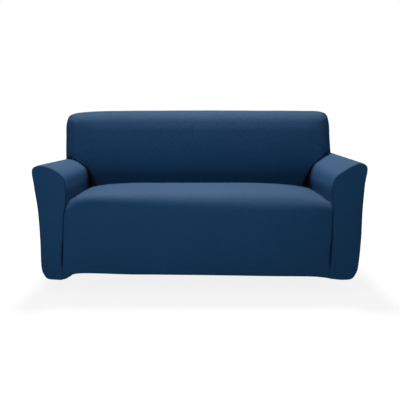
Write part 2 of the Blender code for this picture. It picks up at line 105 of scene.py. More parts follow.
# Outline of the backrest above the arms, from the left side over the top to the right side
BACK_OUTLINE = table(
    "place x z steps",
    ("left side", -0.786, 0.760, 2),
    ("left high", -0.787, 0.844, 2),
    ("left corner", -0.773, 0.888, 2),
    ("left shoulder", -0.744, 0.903, 2),
    ("left top", -0.673, 0.913, 2),
    ("left crown", -0.534, 0.919, 3),
    ("middle", -0.116, TOP_HEIGHT, 3),
    ("right crown", 0.302, TOP_HEIGHT, 3),
    ("right top", 0.600, 0.920, 2),
    ("right shoulder", 0.714, 0.915, 2),
    ("right corner", 0.746, 0.900, 2),
    ("right high", 0.760, 0.853, 2),
    ("right side", 0.761, 0.760, 2),
)
FOOT_STEPS = 2  # from the left foot, on the arm, up to the left side
EDGE_ROLL = 0.070  # radius of the backrest's front edge
SEAM_INSET = 0.009  # how far inside the outline the seam of the top strip lies

# Front of the backrest: a height and its depth in each row
BACK_FACE = (
    (0.430, 0.598),
    (0.525, 0.597),
    (0.580, 0.582),
    (0.680, 0.600),
    (0.870, 0.660),
    (TOP_HEIGHT, 0.675),
)
BACK_FOOT_DEPTH = 0.610  # where the backrest's front comes down on the arms
BACK_BULGE = 0.012  # how far its middle stands forward of its sides
BACK_HALF = 0.770  # half its width
POCKET_DEPTH, POCKET_WIDTH, POCKET_TOP = 0.050, 0.060, 0.610  # at each rear corner of the seat
BACK_BOTTOM = 0.436  # lower edge of the inside back, down the crevice behind the seat
ARM_TUCK = 0.040  # how far the inside back is pushed in beside and above an arm
FOOT_REACH = 0.080  # the tuck turns into the rolled edge within this of the backrest's foot
FOOT_LIFT_POWER = 4  # how late, coming along the arm, its edge is lifted to the foot
CORNER_SOFTENING = 10  # passes that turn the normals more slowly round a corner

# The three lines round the inside back's edge, from its face outwards: how far each lies from
# the arm and behind the face beside an arm, how far inside the outline above the arms, and how
# far it is lifted at the foot.
BACK_RINGS = (
    (0.014, 0.0, EDGE_ROLL, 0.044),
    (0.003, 0.004, 0.022, 0.014),
    (0.0, ARM_TUCK, SEAM_INSET + JOIN_GAP / 2, 0.0),
)

# How full the backrest is below its top: the heights between which that comes in and goes, and
# where it ends sideways. Beside the arms its cloth sinks in a wide, shallow hollow.
FULLNESS, FULL_FROM, FULL_TO, FULL_SIDES = 0.014, (0.46, 0.78), (0.905, 0.800), (0.76, 0.60)
HOLLOW_DEPTH, HOLLOW_TOP = 0.008, 0.630
HOLLOW_WIDTHS = (0.150, 0.100)  # on the left and on the right

# Seat and front drop
SEAT_CROWN_REAR = 0.036  # how much higher the middle of the seat is than its sides
SEAT_CROWN_MORE = 0.016  # and what is added halfway to the front
SEAT_SHOULDER = 0.7  # how the crown falls off towards the arms
SEAT_ROLL = 0.090  # radius of the front edge in the middle
ROLL_SKEW = 0.05  # how much rounder that edge is to the right than to the left
# At its left and right front corner: the radius there, how fast it grows towards the middle,
# how flat the crown stays towards the arm, and how much the corner is stuffed up.
LEFT_CORNER, RIGHT_CORNER = table(
    "roll growth flatness stuffing",
    (0.073, 6, 5, 0.042),
    (0.050, 3, 4, 0.0),
)
STUFFED_REACH = 0.120  # how far back from the front that stuffing goes
FRONT_BULGE = 0.012  # how far the middle of the front drop stands out
SEAT_REAR_TURN = 0.018  # radius with which the seat turns down in front of the backrest
SEAT_REAR_BOTTOM = 0.446  # its lower edge there
SEAT_TUCK = 0.038  # how far the seat is pushed down beside an arm
SEAT_TUCK_LEAST = 0.003  # and behind, next to the backrest
TUCK_DEEPENS = 0.072  # over this distance the one becomes the other
DROP_TUCK = 0.030  # how far the front drop and the arm front turn in where they meet
SLIT_SHUT = 0.015  # how far in the slit between them is closed
HEM_TURN, HEM_TURN_POWER = 0.006, 8  # how far, and how late, the hem of the drop curls in
REAR_STEPS, TURN_STEPS, DECK_STEPS, ROLL_STEPS = 4, 5, 82, 22
DROP_LENGTH = 0.300  # of the front drop below the roll, roughly
ARM_FRONT_BULGE = 0.005  # how far the middle of an arm front stands out
# Beside the arms the seat's front is rounded down a little more: by how much, how far back,
# over what reach, how close to the arm, and the heights between which that comes in.
SEAT_DIP, DIP_DEPTH, DIP_REACH, DIP_POWER, DIP_HEIGHTS = 0.007, 0.10, 0.085, 14, (0.385, 0.440)

# The line in which the front drop meets the two arm fronts and, above them, the arm wraps: a
# height, the distance from the middle on the left and on the right, and the gap.
DROP_FOOT, DROP_TOP = 0.080, 0.446
FRONT_LINE = (
    (DROP_FOOT, 0.6710, 0.6340, 0.0002),
    (0.138, 0.6710, 0.6320, 0.0002),
    (0.165, 0.6705, 0.6325, 0.0010),
    (0.212, 0.6690, 0.6340, 0.0048),
    (0.258, 0.6655, 0.6360, 0.0032),
    (0.304, 0.6620, 0.6380, 0.0008),
    (0.395, 0.6570, 0.6400, 0.0004),
    (DROP_TOP, 0.6480, 0.6400, 0.0006),
    (CREVICE_FRONT, 0.6440, 0.6370, 2 * CREVICE_GAP),
)

# The hem along the front and the rear, as (x, z) from the left corner to the right one. Next
# to the corners come the three points of a lobe that hangs lower over each leg.
FRONT_HEM = np.array((
    (-0.761, 0.118),
    (-0.743, 0.0985), (-0.708, 0.0935), (-0.662, 0.0940),
    (-0.636, 0.107), (-0.616, 0.1190), (-0.331, 0.1180),
    (0.020, 0.1140), (0.350, 0.1095), (0.570, 0.1060),
    (0.650, 0.0965), (0.700, 0.0925), (0.740, 0.0980),
    (0.757, 0.118),
))
REAR_HEM = np.array((
    (-0.761, 0.118),
    (-0.737, 0.098), (-0.702, 0.094), (-0.655, 0.102),
    (-0.600, 0.118), (0.0, 0.121), (0.600, 0.118),
    (0.655, 0.102), (0.702, 0.094), (0.735, 0.098),
    (0.757, 0.118),
))

# Close lines of a panel's grid beside each kind of edge, as distances from it
CLOSE_LINES = {
    "seam": (0.0, 0.0009, 0.0019, 0.0032, 0.0055, 0.0100),
    "join": (0.0, 0.0010, 0.0025, 0.0055),
    "fold": (0.0, 0.0012, 0.0028, 0.0050, 0.0090),
    "hem": (0.0, 0.0008, 0.0018, 0.0032, 0.0070, 0.0110, 0.0148, 0.0165, 0.0182, 0.0200)
    + (0.0214, 0.0225, 0.0236, 0.0260),
    "loose": (0.0,),
}
SEAT_TUCK_LINES = np.array(CLOSE_LINES["fold"] + (0.020, SEAT_TUCK))
FRONT_TUCK_LINES = np.array(CLOSE_LINES["fold"] + (0.018, DROP_TUCK))

# Relief of the cloth. The stuffing swells slowly: by how much, and the wave numbers and phase
# of the sine and of the cosine that shape it.
SWELLS = (
    (0.0007, (9.1, 0.0, 4.3), 0.7, (0.0, -5.2, 6.7), 1.9),
    (0.0003, (17.3, 13.1, -11.9), 0.0, (14.2, 9.7, 0.0), 0.4),
)
SEAM_ROLL = 0.0024  # radius with which the cloth turns in at a seam round a corner
JOIN_ROLL = 0.0009  # at a seam that lies flat
FOLD_ROLL = 0.0045  # where it is pushed down beside its neighbour
HEM_ROLL = 0.0020  # and at the fold of the hem
ROUND_DEPTH, ROUND_REACH = 0.004, 0.015  # how the cloth slopes down to a seam round a corner
SEAM_DRAW, DRAW_REACH = 0.0055, 0.022  # how an end panel is drawn in where it is sewn on
HEM_WIDTH = 0.0225  # depth of the turned-up hem
HEM_STEP, HEM_EASE = 0.0009, 0.0012  # how much prouder it stands, and how soft that step is
STITCH_ROWS = (0.0165, 0.0200)  # the two rows of stitching above the hem's edge
STITCH_SINK, SINK_REACH = 0.00035, 0.0016  # how a row of stitching pulls the hem in
STITCH = {"Pitch": 0.0034, "Length": 0.0030, "Width": 0.0007, "Height": 0.0006}
FOOT_SINK = 0.003  # how deep the feet of the top strip are pushed into the arms
END_PANELS = ("outside_back", "arm_front_left", "arm_front_right")  # sewn in round their edge
ROUND_PANELS = ("back_strip", "arm_wrap_left", "arm_wrap_right")  # the panels sewn to those
ALLOWANCE, ALLOWANCE_SLOPE = 0.0055, 0.0012  # the strip of these that is turned in at a seam

# Creases on a panel, each with its width, its depth and the line that it follows. It runs out
# at its ends, and the cloth rises in a low rim beside it.
CREASES = {
    "seat_and_front": (
        (0.011, 0.0011, (-0.630, 0.030, 0.462), (-0.590, -0.002, 0.395), (-0.520, -0.006, 0.330)),
        (0.009, 0.0009, (-0.640, 0.000, 0.400), (-0.615, -0.004, 0.330), (-0.600, -0.004, 0.270)),
        (0.012, 0.0010, (0.622, 0.030, 0.462), (0.575, -0.002, 0.400), (0.500, -0.006, 0.350)),
        (0.008, 0.0008, (-0.655, 0.000, 0.125), (-0.630, 0.000, 0.150), (-0.590, -0.002, 0.185)),
        (0.009, 0.0007, (0.625, 0.000, 0.115), (0.600, -0.001, 0.145), (0.550, -0.003, 0.175)),
    ),
    "inside_back": (
        (0.017, 0.0008, (-0.755, 0.625, 0.690), (-0.700, 0.612, 0.705), (-0.600, 0.612, 0.745)),
        (0.015, 0.0007, (-0.655, 0.590, 0.606), (-0.600, 0.580, 0.625), (-0.520, 0.580, 0.660)),
        (0.018, 0.0008, (0.735, 0.630, 0.700), (0.680, 0.617, 0.720), (0.590, 0.617, 0.755)),
        (0.014, 0.0007, (0.650, 0.590, 0.610), (0.590, 0.582, 0.632), (0.500, 0.582, 0.672)),
    ),
    "arm_wrap_left": (
        (0.012, 0.0010, (-0.800, 0.010, 0.625), (-0.798, 0.080, 0.570), (-0.790, 0.180, 0.500)),
        (0.013, 0.0012, (-0.797, 0.780, 0.590), (-0.795, 0.700, 0.520), (-0.788, 0.600, 0.440)),
        (0.010, 0.0008, (-0.768, 0.050, 0.115), (-0.777, 0.090, 0.170), (-0.777, 0.160, 0.235)),
    ),
    "arm_wrap_right": (
        (0.013, 0.0010, (0.797, 0.010, 0.635), (0.796, 0.090, 0.575), (0.788, 0.200, 0.490)),
        (0.012, 0.0011, (0.794, 0.780, 0.600), (0.790, 0.690, 0.520), (0.785, 0.570, 0.430)),
        (0.010, 0.0009, (0.766, 0.740, 0.115), (0.777, 0.690, 0.170), (0.781, 0.610, 0.240)),
    ),
    "outside_back": (
        (0.015, 0.0013, (-0.745, 0.816, 0.790), (-0.680, 0.815, 0.740), (-0.560, 0.812, 0.670)),
        (0.014, 0.0012, (0.740, 0.816, 0.800), (0.660, 0.815, 0.735), (0.540, 0.811, 0.650)),
        (0.012, 0.0010, (-0.700, 0.794, 0.120), (-0.660, 0.797, 0.190), (-0.580, 0.800, 0.270)),
        (0.013, 0.0010, (0.700, 0.794, 0.120), (0.650, 0.797, 0.180), (0.570, 0.800, 0.250)),
    ),
}
CREASE_START, CREASE_FADE = 0.06, 0.7  # how deep a crease is at its ends, and how soon it deepens
RIM_HEIGHT, RIM_PLACE = 0.35, 1.7  # of the rim, as shares of the crease's depth and width

# Finish, with the painted highlight and painted shade on the knit
KNIT_COLOUR = (0.0125, 0.0585, 0.146, 1.0)
PAINTED_TOP_LIGHT_COLOUR = (0.0240, 0.0690, 0.142, 1.0)  # painted highlight where the cloth faces up, lighter as if lit from above
PAINTED_TOP_LIGHT_FROM, PAINTED_TOP_LIGHT_TO = 0.25, 0.97  # how far up it faces, between no painted highlight and the full one
POCKET_SHADE_COLOUR = (0.0340, 0.0370, 0.0500, 1.0)  # painted shade down in the pockets beside the backrest
POCKET_SHADE_EASE = 0.35  # how gently the painted pocket shade comes in on the backrest
ARM_POCKET_SHADE = ((0.690, 0.660), (0.530, 0.585), (0.625, 0.585))  # across, depth, height between which the painted pocket shade comes in on an arm
THREAD_COLOUR = (0.013, 0.050, 0.130)
KNIT_ROUGHNESS, THREAD_ROUGHNESS = 0.8, 0.5
KNIT_FINISH = {"Specular IOR Level": 0.20}
THREAD_FINISH = {"Specular IOR Level": 0.3, "Sheen Weight": 0.15}
KNIT_BUMP = {"Strength": 0.5, "Distance": 0.0006}
THREAD_BUMP = {"Strength": 0.4, "Distance": 0.0002}
KNIT_SIZES = {
    "Loop Width": 0.0026,
    "Loop Height": 0.0020,
    "Diamond Width": 0.0195,
    "Diamond Height": 0.0112,
}
LOOP_LEAN = 1.1  # how steeply the legs of a loop lean
WALE_POWER = 0.6  # how round a column of loops is
LOOP_CONTRAST, DIAMOND_CONTRAST, STRAND_CONTRAST = 0.20, 0.15, 0.4
DIAMOND_HEIGHT_SHARE = 0.8  # how proud the diamonds stand beside the loops
BROAD_MOTTLE = {"Scale": 3.5, "Strength": 0.10}
FINE_MOTTLE = {"Scale": 60.0, "Strength": 0.12}
THREAD_MOTTLE = {"Scale": 40.0, "Strength": 0.15}
TWIST = {"Scale": 600.0, "Distortion": 1.0}
# The painted shade beside each kind of edge: how far it reaches, and how dark it is at the
# edge. The last is the painted shade down the crevice behind the seat, below SEAT_CREVICE.
EDGE_SHADES = (
    ("seam", 0.0040, 0.55),
    ("join", 0.0025, 0.85),
    ("fold", 0.0085, 0.50),
    ("hem", 0.0020, 0.70),
    ("sunk", 0.2200, 0.60),
)
SEAT_CREVICE = 0.485
# The slit beside an arm front is open halfway up, and closes below that and above it: at each
# height, by how much its edge is less rounded and its painted shade less dark.
FRONT_PANELS = ("seat_and_front", "arm_front_left", "arm_front_right")
SLIT_CLOSED = ((0.140, 0.0080), (0.172, 0.0), (0.285, 0.0), (0.350, 0.0008), (0.445, 0.0004))

# Studio
FLOOR_HALF = 12.0
FLOOR_BOUNCE = 0.15  # its colour as it lights the cover from below
FLOOR_SEEN = (0.14, 0.14, 0.14, 1.0)
FLOOR_GLOW, FLOOR_FADE = 0.86, (1.2, 3.2)  # rising to 1 between these distances
WHITE = (1.0, 1.0, 1.0, 1.0)
AMBIENT = 0.11
LIGHTS = table(
    "name place aim size power gloss",
    ("overhead", (-0.25, 1.15, 4.2), (-0.05, -0.3, -0.4), (1.0, 1.8), 352.0, True),
    ("front_fill", (-0.35, -2.6, 0.4), (0.0, 0.0, -0.5), (1.2, 1.2), 26.0, False),
    ("rear_fill", (0.6, 3.4, 1.2), (0.0, 0.0, -0.4), (2.0, 2.0), 40.0, False),
    ("left_fill", (-3.2, 0.2, 0.6), (0.0, 0.0, -0.5), (2.0, 1.5), 12.0, False),
    ("right_fill", (3.2, 0.2, 0.6), (0.0, 0.0, -0.5), (2.0, 1.5), 12.0, False),
)
SENSOR = 36.0
CAMERA_FOCUS = 590 / 400  # focal length as a share of the picture's width
CAMERA_PLACE = (0.0, -2.80, 0.866)
CAMERA_TILT = math.atan(80 / 590)


# Curves

def spline(points, steps):
    """A smooth curve through the points, with FINE * steps[i] straight pieces in its span i."""
    points = np.asarray(points, float)
    chords = np.linalg.norm(np.diff(points, axis=0), axis=1)
    knots = np.concatenate([[0.0], np.cumsum(np.sqrt(chords))])
    slopes = np.gradient(points, knots, axis=0)
    line = []
    for i, count in enumerate(steps):
        span = knots[i + 1] - knots[i]
        t = (np.arange(count * FINE) / (count * FINE))[:, None]
        from_here = (1 + 2 * t) * (1 - t) ** 2 * points[i]
        leaving = t * (1 - t) ** 2 * span * slopes[i]
        to_next = t * t * (3 - 2 * t) * points[i + 1]
        arriving = t * t * (t - 1) * span * slopes[i + 1]
        line.append(from_here + leaving + to_next + arriving)
    return np.vstack(line + [points[-1:]])


def even_spline(rows, steps=1):
    """A smooth curve through rows of numbers, with the same steps in each span."""
    return spline(rows, [steps] * (len(rows) - 1))


def stations(rows):
    """How many points of its fine curve lie before each named row of a table."""
    counts = np.cumsum([0] + [row.steps for row in rows])
    return {row[0]: FINE * int(count) for row, count in zip(rows, counts)}


def run_of(line):
    """How far along a line each of its points lies."""
    return np.concatenate([[0.0], np.cumsum(np.linalg.norm(np.diff(line, axis=0), axis=1))])


def between(marks, run, line):
    """The values at these marks along a line, whose own points lie at the marks in `run`."""
    return np.stack([np.interp(marks, run, line[:, i]) for i in range(line.shape[1])], -1)


def at_marks(line, marks):
    """The points at these distances along a line."""
    return between(marks, run_of(line), line)


def at_places(line, places):
    """The points at these places along a line, whose own points lie at 0, 1, 2 and so on."""
    return between(places, np.arange(len(line)), line)


def graded(length, first, last, step=STEP):
    """Distances along a line of this length, close together beside edges of these kinds."""
    low = np.array(CLOSE_LINES[first])
    high = length - np.array(CLOSE_LINES[last])[::-1]
    count = max(int(math.ceil((high[0] - low[-1]) / step)), 1)
    return np.concatenate([low[:-1], np.linspace(low[-1], high[0], count + 1), high[1:]])


def smooth_step(low, high, value):
    t = np.clip((value - low) / (high - low), 0.0, 1.0)
    return t * t * (3 - 2 * t)


def coons(bottom, top, left, right, us, vs):
    """A grid of points that fills the outline made by four lines of points."""
    us = us[None, :, None]
    vs = vs[:, None, None]
    across = (1 - vs) * bottom[None] + vs * top[None]
    upward = (1 - us) * left[:, None] + us * right[:, None]
    lower = (1 - us) * bottom[0] + us * bottom[-1]
    upper = (1 - us) * top[0] + us * top[-1]
    return across + upward - ((1 - vs) * lower + vs * upper)


def filled(lines, edges, step):
    """A grid that fills an outline of four lines, graded beside edges of these kinds.

    Both are given as the bottom, top, left and right one. With the grid come the shares of
    its width and its height at which its lines lie.
    """
    runs = [run_of(line)[-1] for line in lines]
    us = graded(runs[0], *edges[2:], step)
    us /= us[-1]
    vs = graded((runs[2] + runs[3]) / 2, *edges[:2], step)
    vs /= vs[-1]
    sides = [at_marks(line, share * run) for line, share, run in zip(lines, (us, us, vs, vs), runs)]
    return coons(*sides, us, vs), us, vs


def with_depth(flat, depth):
    """Points (x, depth, z) from points (x, z)."""
    return np.stack([flat[..., 0], np.broadcast_to(depth, flat.shape[:-1]), flat[..., 1]], -1)


def laid_out(across, along):
    """Where the knit's pattern lies on a grid of points."""
    return np.stack(np.broadcast_arrays(across, along), -1)


# The surfaces that the panels follow

ARM_AT = stations(ARM)
ARM_STEPS = [row.steps for row in ARM[:-1]]
ARM_LINES = {
    -1: spline([row.left for row in ARM], ARM_STEPS),
    1: spline([row.right for row in ARM], ARM_STEPS),
}
SIDE_ENDS = ((-1, 0), (1, -1))  # where a line that runs from left to right has each side


def on_arm(side, places, depths):
    """Points (x, z) of an arm's outline at each of these places along it, each at a depth."""
    line = ARM_LINES[side]
    x, z = np.moveaxis(at_places(line, places), -1, 0)
    z = z + RISES[side] * depths / REAR_DEPTH * smooth_step(RISE_FROM, RISE_TO, z)
    shallow = 1 - smooth_step(CREVICE_STARTS, CREVICE_DEEP, depths)
    below = np.clip(1 - places / FINE, 0.0, 1.0)
    z = z + (CREVICE_FRONT - line[0, 1]) * shallow * below
    return np.stack([side * x, z], -1)


def arm_section(side, depth):
    """The outline of an arm at a depth, as (x, z), from the crevice over the top to the hem."""
    return on_arm(side, np.arange(len(ARM_LINES[side])), depth)


def arm_top(side, across, depth):
    """Height of an arm's top at a distance from the middle."""
    top = arm_section(side, depth)[ARM_AT["inner shoulder"] : ARM_AT["shoulder"] + 1]
    return np.interp(across, side * top[:, 0], top[:, 1])


def rear_depth(height):
    return REAR_DEPTH + REAR_LEAN * height / TOP_HEIGHT


def seat_side(side):
    """The distance from the middle to the arm's inner face, at the seat."""
    return ARM_LINES[side][0, 0]


BACK_FACE_CURVE = even_spline(BACK_FACE)


def pocket(x, z, width, top=POCKET_TOP):
    """How open a corner pocket is at points of the backrest's front, and how far in they are."""
    arm = np.where(x < 0, seat_side(-1), seat_side(1))
    opening = np.clip((top - z) / (top - SEAT_LINE), 0.0, 1.0)
    near = 1 - (arm - np.abs(x)) / np.maximum(width * opening, TINY)
    return opening, smooth_step(0.0, 1.0, near)


def back_face(x, z):
    """Depth of the front of the backrest, with its bulge and its two corner pockets."""
    x, z = np.broadcast_arrays(x, z)
    depth = np.interp(z, BACK_FACE_CURVE[:, 0], BACK_FACE_CURVE[:, 1])
    depth = depth - BACK_BULGE * (1 - np.clip(np.abs(x) / BACK_HALF, 0, 1) ** 2)
    opening, inside = pocket(x, z, POCKET_WIDTH)
    return depth + POCKET_DEPTH * opening * inside


def on_back(flat, behind=0.0):
    """Points (x, z) put on the front of the backrest, or this far behind it."""
    return with_depth(flat, back_face(flat[..., 0], flat[..., 1]) + behind)


def hollow(x, z):
    """The wide hollow that the cloth sinks in beside an arm, as `pocket` gives it."""
    return pocket(x, z, np.where(x < 0, *HOLLOW_WIDTHS), HOLLOW_TOP)


def hollow_depth(x, z):
    """How much deeper the cloth lies in that hollow."""
    opening, inside = hollow(x, z)
    return HOLLOW_DEPTH * opening * inside


def backrest_outline():
    """The outline above the arms, with its two feet standing on them."""
    feet = [arm_section(side, BACK_FOOT_DEPTH)[ARM_AT["back foot"]] for side in (-1, 1)]
    feet = [foot + (0, CREVICE_GAP) for foot in feet]
    points = [row[1:3] for row in BACK_OUTLINE]
    return spline([feet[0], *points, feet[1]], [FOOT_STEPS] + [row.steps for row in BACK_OUTLINE])


def inward_normals(line, softening=0):
    """Unit normals to the right of a line that is walked from its first point.

    Softening turns them more slowly round a corner, so that lines drawn inside it part.
    """
    places = np.append(np.arange(0, len(line) - 1, FINE), len(line) - 1)
    along = np.gradient(line[places], axis=0)
    normals = np.column_stack([along[:, 1], -along[:, 0]])
    normals /= np.linalg.norm(normals, axis=1, keepdims=True)
    for _ in range(softening):
        normals[1:-1] = (normals[:-2] + 2 * normals[1:-1] + normals[2:]) / 4
    normals = between(np.arange(len(line)), places, normals)
    return normals / np.linalg.norm(normals, axis=1, keepdims=True)


OUTLINE = backrest_outline()
INWARD = inward_normals(OUTLINE, CORNER_SOFTENING)
OUTLINE_AT = stations(BACK_OUTLINE)
CORNERS = [FINE * FOOT_STEPS + OUTLINE_AT[name] for name in ("left corner", "right corner")]


def roll_back(inset):
    """How far back the rolled edge is at a distance inside the outline."""
    reach = np.clip(EDGE_ROLL - inset, 0.0, EDGE_ROLL)
    return EDGE_ROLL - np.sqrt(EDGE_ROLL**2 - reach**2)


def hem_height(rows, x):
    line = even_spline(rows, 2)
    return np.interp(x, line[:, 0], line[:, 1])


def hem_between(rows, start, end, count):
    """The line of the hem between two points."""
    x = np.linspace(start[0], end[0], count)
    return np.column_stack([x, hem_height(rows, x)])


FRONT_CURVE = even_spline(FRONT_LINE)


def front_line(side, height):
    """Where the front drop meets an arm front: distance from the middle, and gap."""
    heights, left, right, gaps = FRONT_CURVE.T
    return np.interp(height, heights, left if side < 0 else right), np.interp(height, heights, gaps)


def closing(side, heights, pushes):
    """How far the two cloths of the slit beside an arm front have closed up, at each push in."""
    gap = front_line(side, heights)[1] * smooth_step(CREVICE_FRONT, DROP_TOP, heights)
    return np.maximum(gap / 2 - TINY, 0.0) * smooth_step(0.0, SLIT_SHUT, pushes)


def seat_edge(side, height):
    """The distance from the middle to the edge of the seat or of the front drop."""
    across, gap = front_line(side, height)
    return across - gap / 2


# Grids. Each holds its points, where the knit's pattern lies on them, and what its four
# edges are: the first row, the last row, the first column and the last column.

Grid = namedtuple("Grid", "points pattern edges")


def draw_in(points, edges):
    """Pulls the sewn edges of an end panel in, towards the panel's middle."""
    drawn = points.copy()
    for edge, axis, way in ((0, 0, 1), (1, 0, -1), (2, 1, 1), (3, 1, -1)):
        if edges[edge] != "seam":
            continue
        lines = np.moveaxis(points, axis, 0)[::way]
        moved = np.moveaxis(drawn, axis, 0)[::way]
        inner = lines[len(CLOSE_LINES["seam"])] - lines[0]
        inner /= np.linalg.norm(inner, axis=-1, keepdims=True)
        steps = np.linalg.norm(np.diff(lines, axis=0, prepend=lines[:1]), axis=-1)
        near = np.clip(1 - np.cumsum(steps, axis=0) / DRAW_REACH, 0.0, 1.0)
        moved += inner * SEAM_DRAW * near[..., None]
    return drawn


def drooping(side, places, depths, ends):
    """Points (x, z) of an arm, with the hem drawn on down to the lobes beside both its ends."""
    turn, foot = ARM_AT["hem turn"], ARM_AT["hem"]
    slide = np.zeros(depths.shape + (2,))
    for hem, away in ((FRONT_HEM, depths), (REAR_HEM, ends - depths)):
        corner, lobe = hem[:2] if side < 0 else hem[:-3:-1]
        near = 1 - smooth_step(0.0, DROOP_LENGTH, away)
        slide += near[..., None] * (lobe - corner)
    length = run_of(ARM_LINES[side][turn:])[-1]
    extra = np.linalg.norm(slide, axis=-1)
    run = np.clip((places - turn) / (foot - turn), 0.0, 1.0) * (length + extra)
    lower = turn + (foot - turn) * np.minimum(run / length, 1.0)
    flat = on_arm(side, np.where(places > turn, lower, places), depths)
    beyond = np.maximum(run - length, 0.0) / np.maximum(extra, TINY)
    return flat + beyond[..., None] * slide


def arm_wrap(side):
    """Inner side, top and outer side of an arm, in one length of cloth."""
    section = arm_section(side, REAR_DEPTH)
    run = run_of(section)
    marks = graded(run[-1], "loose", "hem", ARM_STEP)
    places = np.interp(marks, run, np.arange(len(run)))
    rear = rear_depth(at_places(section, places)[:, 1]) - STRETCHED_ON - SEAM_GAP
    inside = np.clip((ARM_AT["back foot"] - places) / FINE, 0.0, 1.0)
    ends = (rear + (WRAP_INNER_END - rear) * inside)[:, None]
    start = STRETCHED_ON + SEAM_GAP
    steps = graded(REAR_DEPTH - start, "seam", "seam")
    depths = start + (ends - start) * steps / steps[-1]
    flat = drooping(side, np.broadcast_to(places[:, None], depths.shape), depths, ends)
    edges = ("loose", "hem", "seam", "seam")
    return [Grid(with_depth(flat, depths), laid_out(depths, marks[:, None]), edges)]


def arm_front(side):
    """The flat facing of an arm, with its lower inner edge turned in beside the drop."""
    section = arm_section(side, 0.0)
    inner_shoulder, shoulder = ARM_AT["inner shoulder"], ARM_AT["shoulder"]
    foot_across = front_line(side, DROP_FOOT)[0]
    foot_height = float(hem_height(FRONT_HEM, side * foot_across))
    heights = np.linspace(foot_height, DROP_TOP, DROP_POINTS)
    across, gap = front_line(side, heights)
    lower = np.column_stack([side * (across + gap / 2), heights])
    inner = np.vstack([lower, section[FINE : inner_shoulder + 1]])
    outer = section[shoulder:][::-1]
    hem = hem_between(FRONT_HEM, inner[0], outer[0], HEM_POINTS)
    hem[-1] = outer[0]
    edges = ("hem", "seam", "fold", "seam")
    outline = (hem, section[inner_shoulder : shoulder + 1], inner, outer)
    flat, along, up = filled(outline, edges, ARM_STEP)
    bulge = ARM_FRONT_BULGE * np.sin(np.pi * along)[None, :] * np.sin(np.pi * up)[:, None]
    face = draw_in(with_depth(flat, -bulge), edges)
    edge = face[face[:, 0, 2] <= DROP_TOP, 0]
    turned = np.stack([edge + (0.0, push, 0.0) for push in FRONT_TUCK_LINES], 1)
    turned[..., 0] -= side * closing(side, turned[..., 2], FRONT_TUCK_LINES)
    pattern = laid_out(turned[..., 0] - side * turned[..., 1], turned[..., 2])
    return [
        Grid(face, face[..., [0, 2]], edges),
        Grid(turned, pattern, ("hem", "loose", "fold", "loose")),
    ]


def held_above(side, flat):
    """Lifts points (x, z) that would lie in the arm under the backrest's foot."""
    top = arm_top(side, np.abs(flat[..., 0]), BACK_FOOT_DEPTH) + CREVICE_GAP
    flat[..., 1] = np.maximum(flat[..., 1], top)


def beside_arm(side, arm_inset, arm_back, roll_inset, lift):
    """The part of a ring that runs up beside an arm and over it, and how far back it lies."""
    section = arm_section(side, BACK_FOOT_DEPTH)[: ARM_AT["back foot"]]
    below = np.clip(1 - np.arange(len(section)) / FINE, 0.0, 1.0)
    section[:, 1] += (BACK_BOTTOM - section[0, 1]) * below
    away = inward_normals(section) * -side
    foot_x = OUTLINE[0 if side < 0 else -1, 0]
    near = smooth_step(FOOT_REACH, 0.0, np.abs(foot_x - section[:, 0]))
    edge = section + away * (CREVICE_GAP + arm_inset * (1 - near))[:, None]
    edge[:, 0] -= side * roll_inset * near
    edge[:, 1] += lift * near**FOOT_LIFT_POWER
    held_above(side, edge[ARM_AT["crown"] :])
    return edge, arm_back + (roll_back(roll_inset) - arm_back) * near


def inside_back_rings():
    """Lines round the inside back's edge, from its face outwards, walked from the left crevice."""
    foot_height = np.where(OUTLINE[:, 0] < 0, OUTLINE[0, 1], OUTLINE[-1, 1])
    rings = []
    for ring in even_spline(BACK_RINGS):
        _, _, roll_inset, lift = ring
        over = OUTLINE + INWARD * roll_inset
        over[:, 1] += lift * smooth_step(FOOT_REACH, 0.0, OUTLINE[:, 1] - foot_height)
        for side, end in SIDE_ENDS:
            held_above(side, over[end])
        (left, left_back), (right, right_back) = (beside_arm(side, *ring) for side in (-1, 1))
        flat = np.vstack([left, over, right[::-1]])
        back = np.concatenate([left_back, np.full(len(over), roll_back(roll_inset)), right_back[::-1]])
        rings.append(on_back(flat, back))
    return rings


def inside_back():
    """Front of the backrest, rolled over its edge and pushed in round the arms."""
    rings = inside_back_rings()
    run = run_of(rings[0])
    corners = [run[ARM_AT["back foot"] + corner] for corner in CORNERS]
    ends = [0.0, *corners, run[-1]]
    side_count = int((ends[1] + ends[3] - ends[2]) / 2 / STEP)
    top_count = int((ends[2] - ends[1]) / STEP)
    counts = (side_count, top_count, side_count)
    marks = [np.linspace(a, b, n + 1)[1:] for a, b, n in zip(ends, ends[1:], counts)]
    places = np.interp(np.concatenate([ends[:1], *marks]), run, np.arange(len(run)))
    loop = np.stack([at_places(ring, places) for ring in rings])
    across_ring = run_of(loop[:, side_count + top_count // 2])
    lines = graded(across_ring[-1], "loose", "join", ROLL_STEP)
    at = np.interp(lines, across_ring, np.arange(len(rings)))
    low = np.minimum(at.astype(int), len(rings) - 2)
    share = (at - low)[:, None, None]
    loop = loop[low] * (1 - share) + loop[low + 1] * share
    inner = loop[0]
    left = inner[: side_count + 1]
    top = inner[side_count : side_count + top_count + 1]
    right = inner[side_count + top_count :][::-1]
    bottom = np.linspace(left[0], right[0], top_count + 1)
    sides = [line[:, [0, 2]] for line in (bottom, top, left, right)]
    flat = coons(*sides, np.linspace(0, 1, top_count + 1), np.linspace(0, 1, side_count + 1))
    face = on_back(flat)
    face[-1], face[:, 0], face[:, -1] = top, left, right
    outward = loop[-1][:, [0, 2]] - inner[:, [0, 2]]
    outward /= np.maximum(np.linalg.norm(outward, axis=1, keepdims=True), TINY)
    reach = np.cumsum(np.linalg.norm(np.diff(loop, axis=0, prepend=loop[:1]), axis=-1), axis=0)
    pattern = inner[None, :, [0, 2]] + outward[None] * reach[..., None]
    return [
        Grid(face, face[..., [0, 2]], ("loose", "loose", "loose", "loose")),
        Grid(loop, pattern, ("loose", "join", "loose", "loose")),
    ]


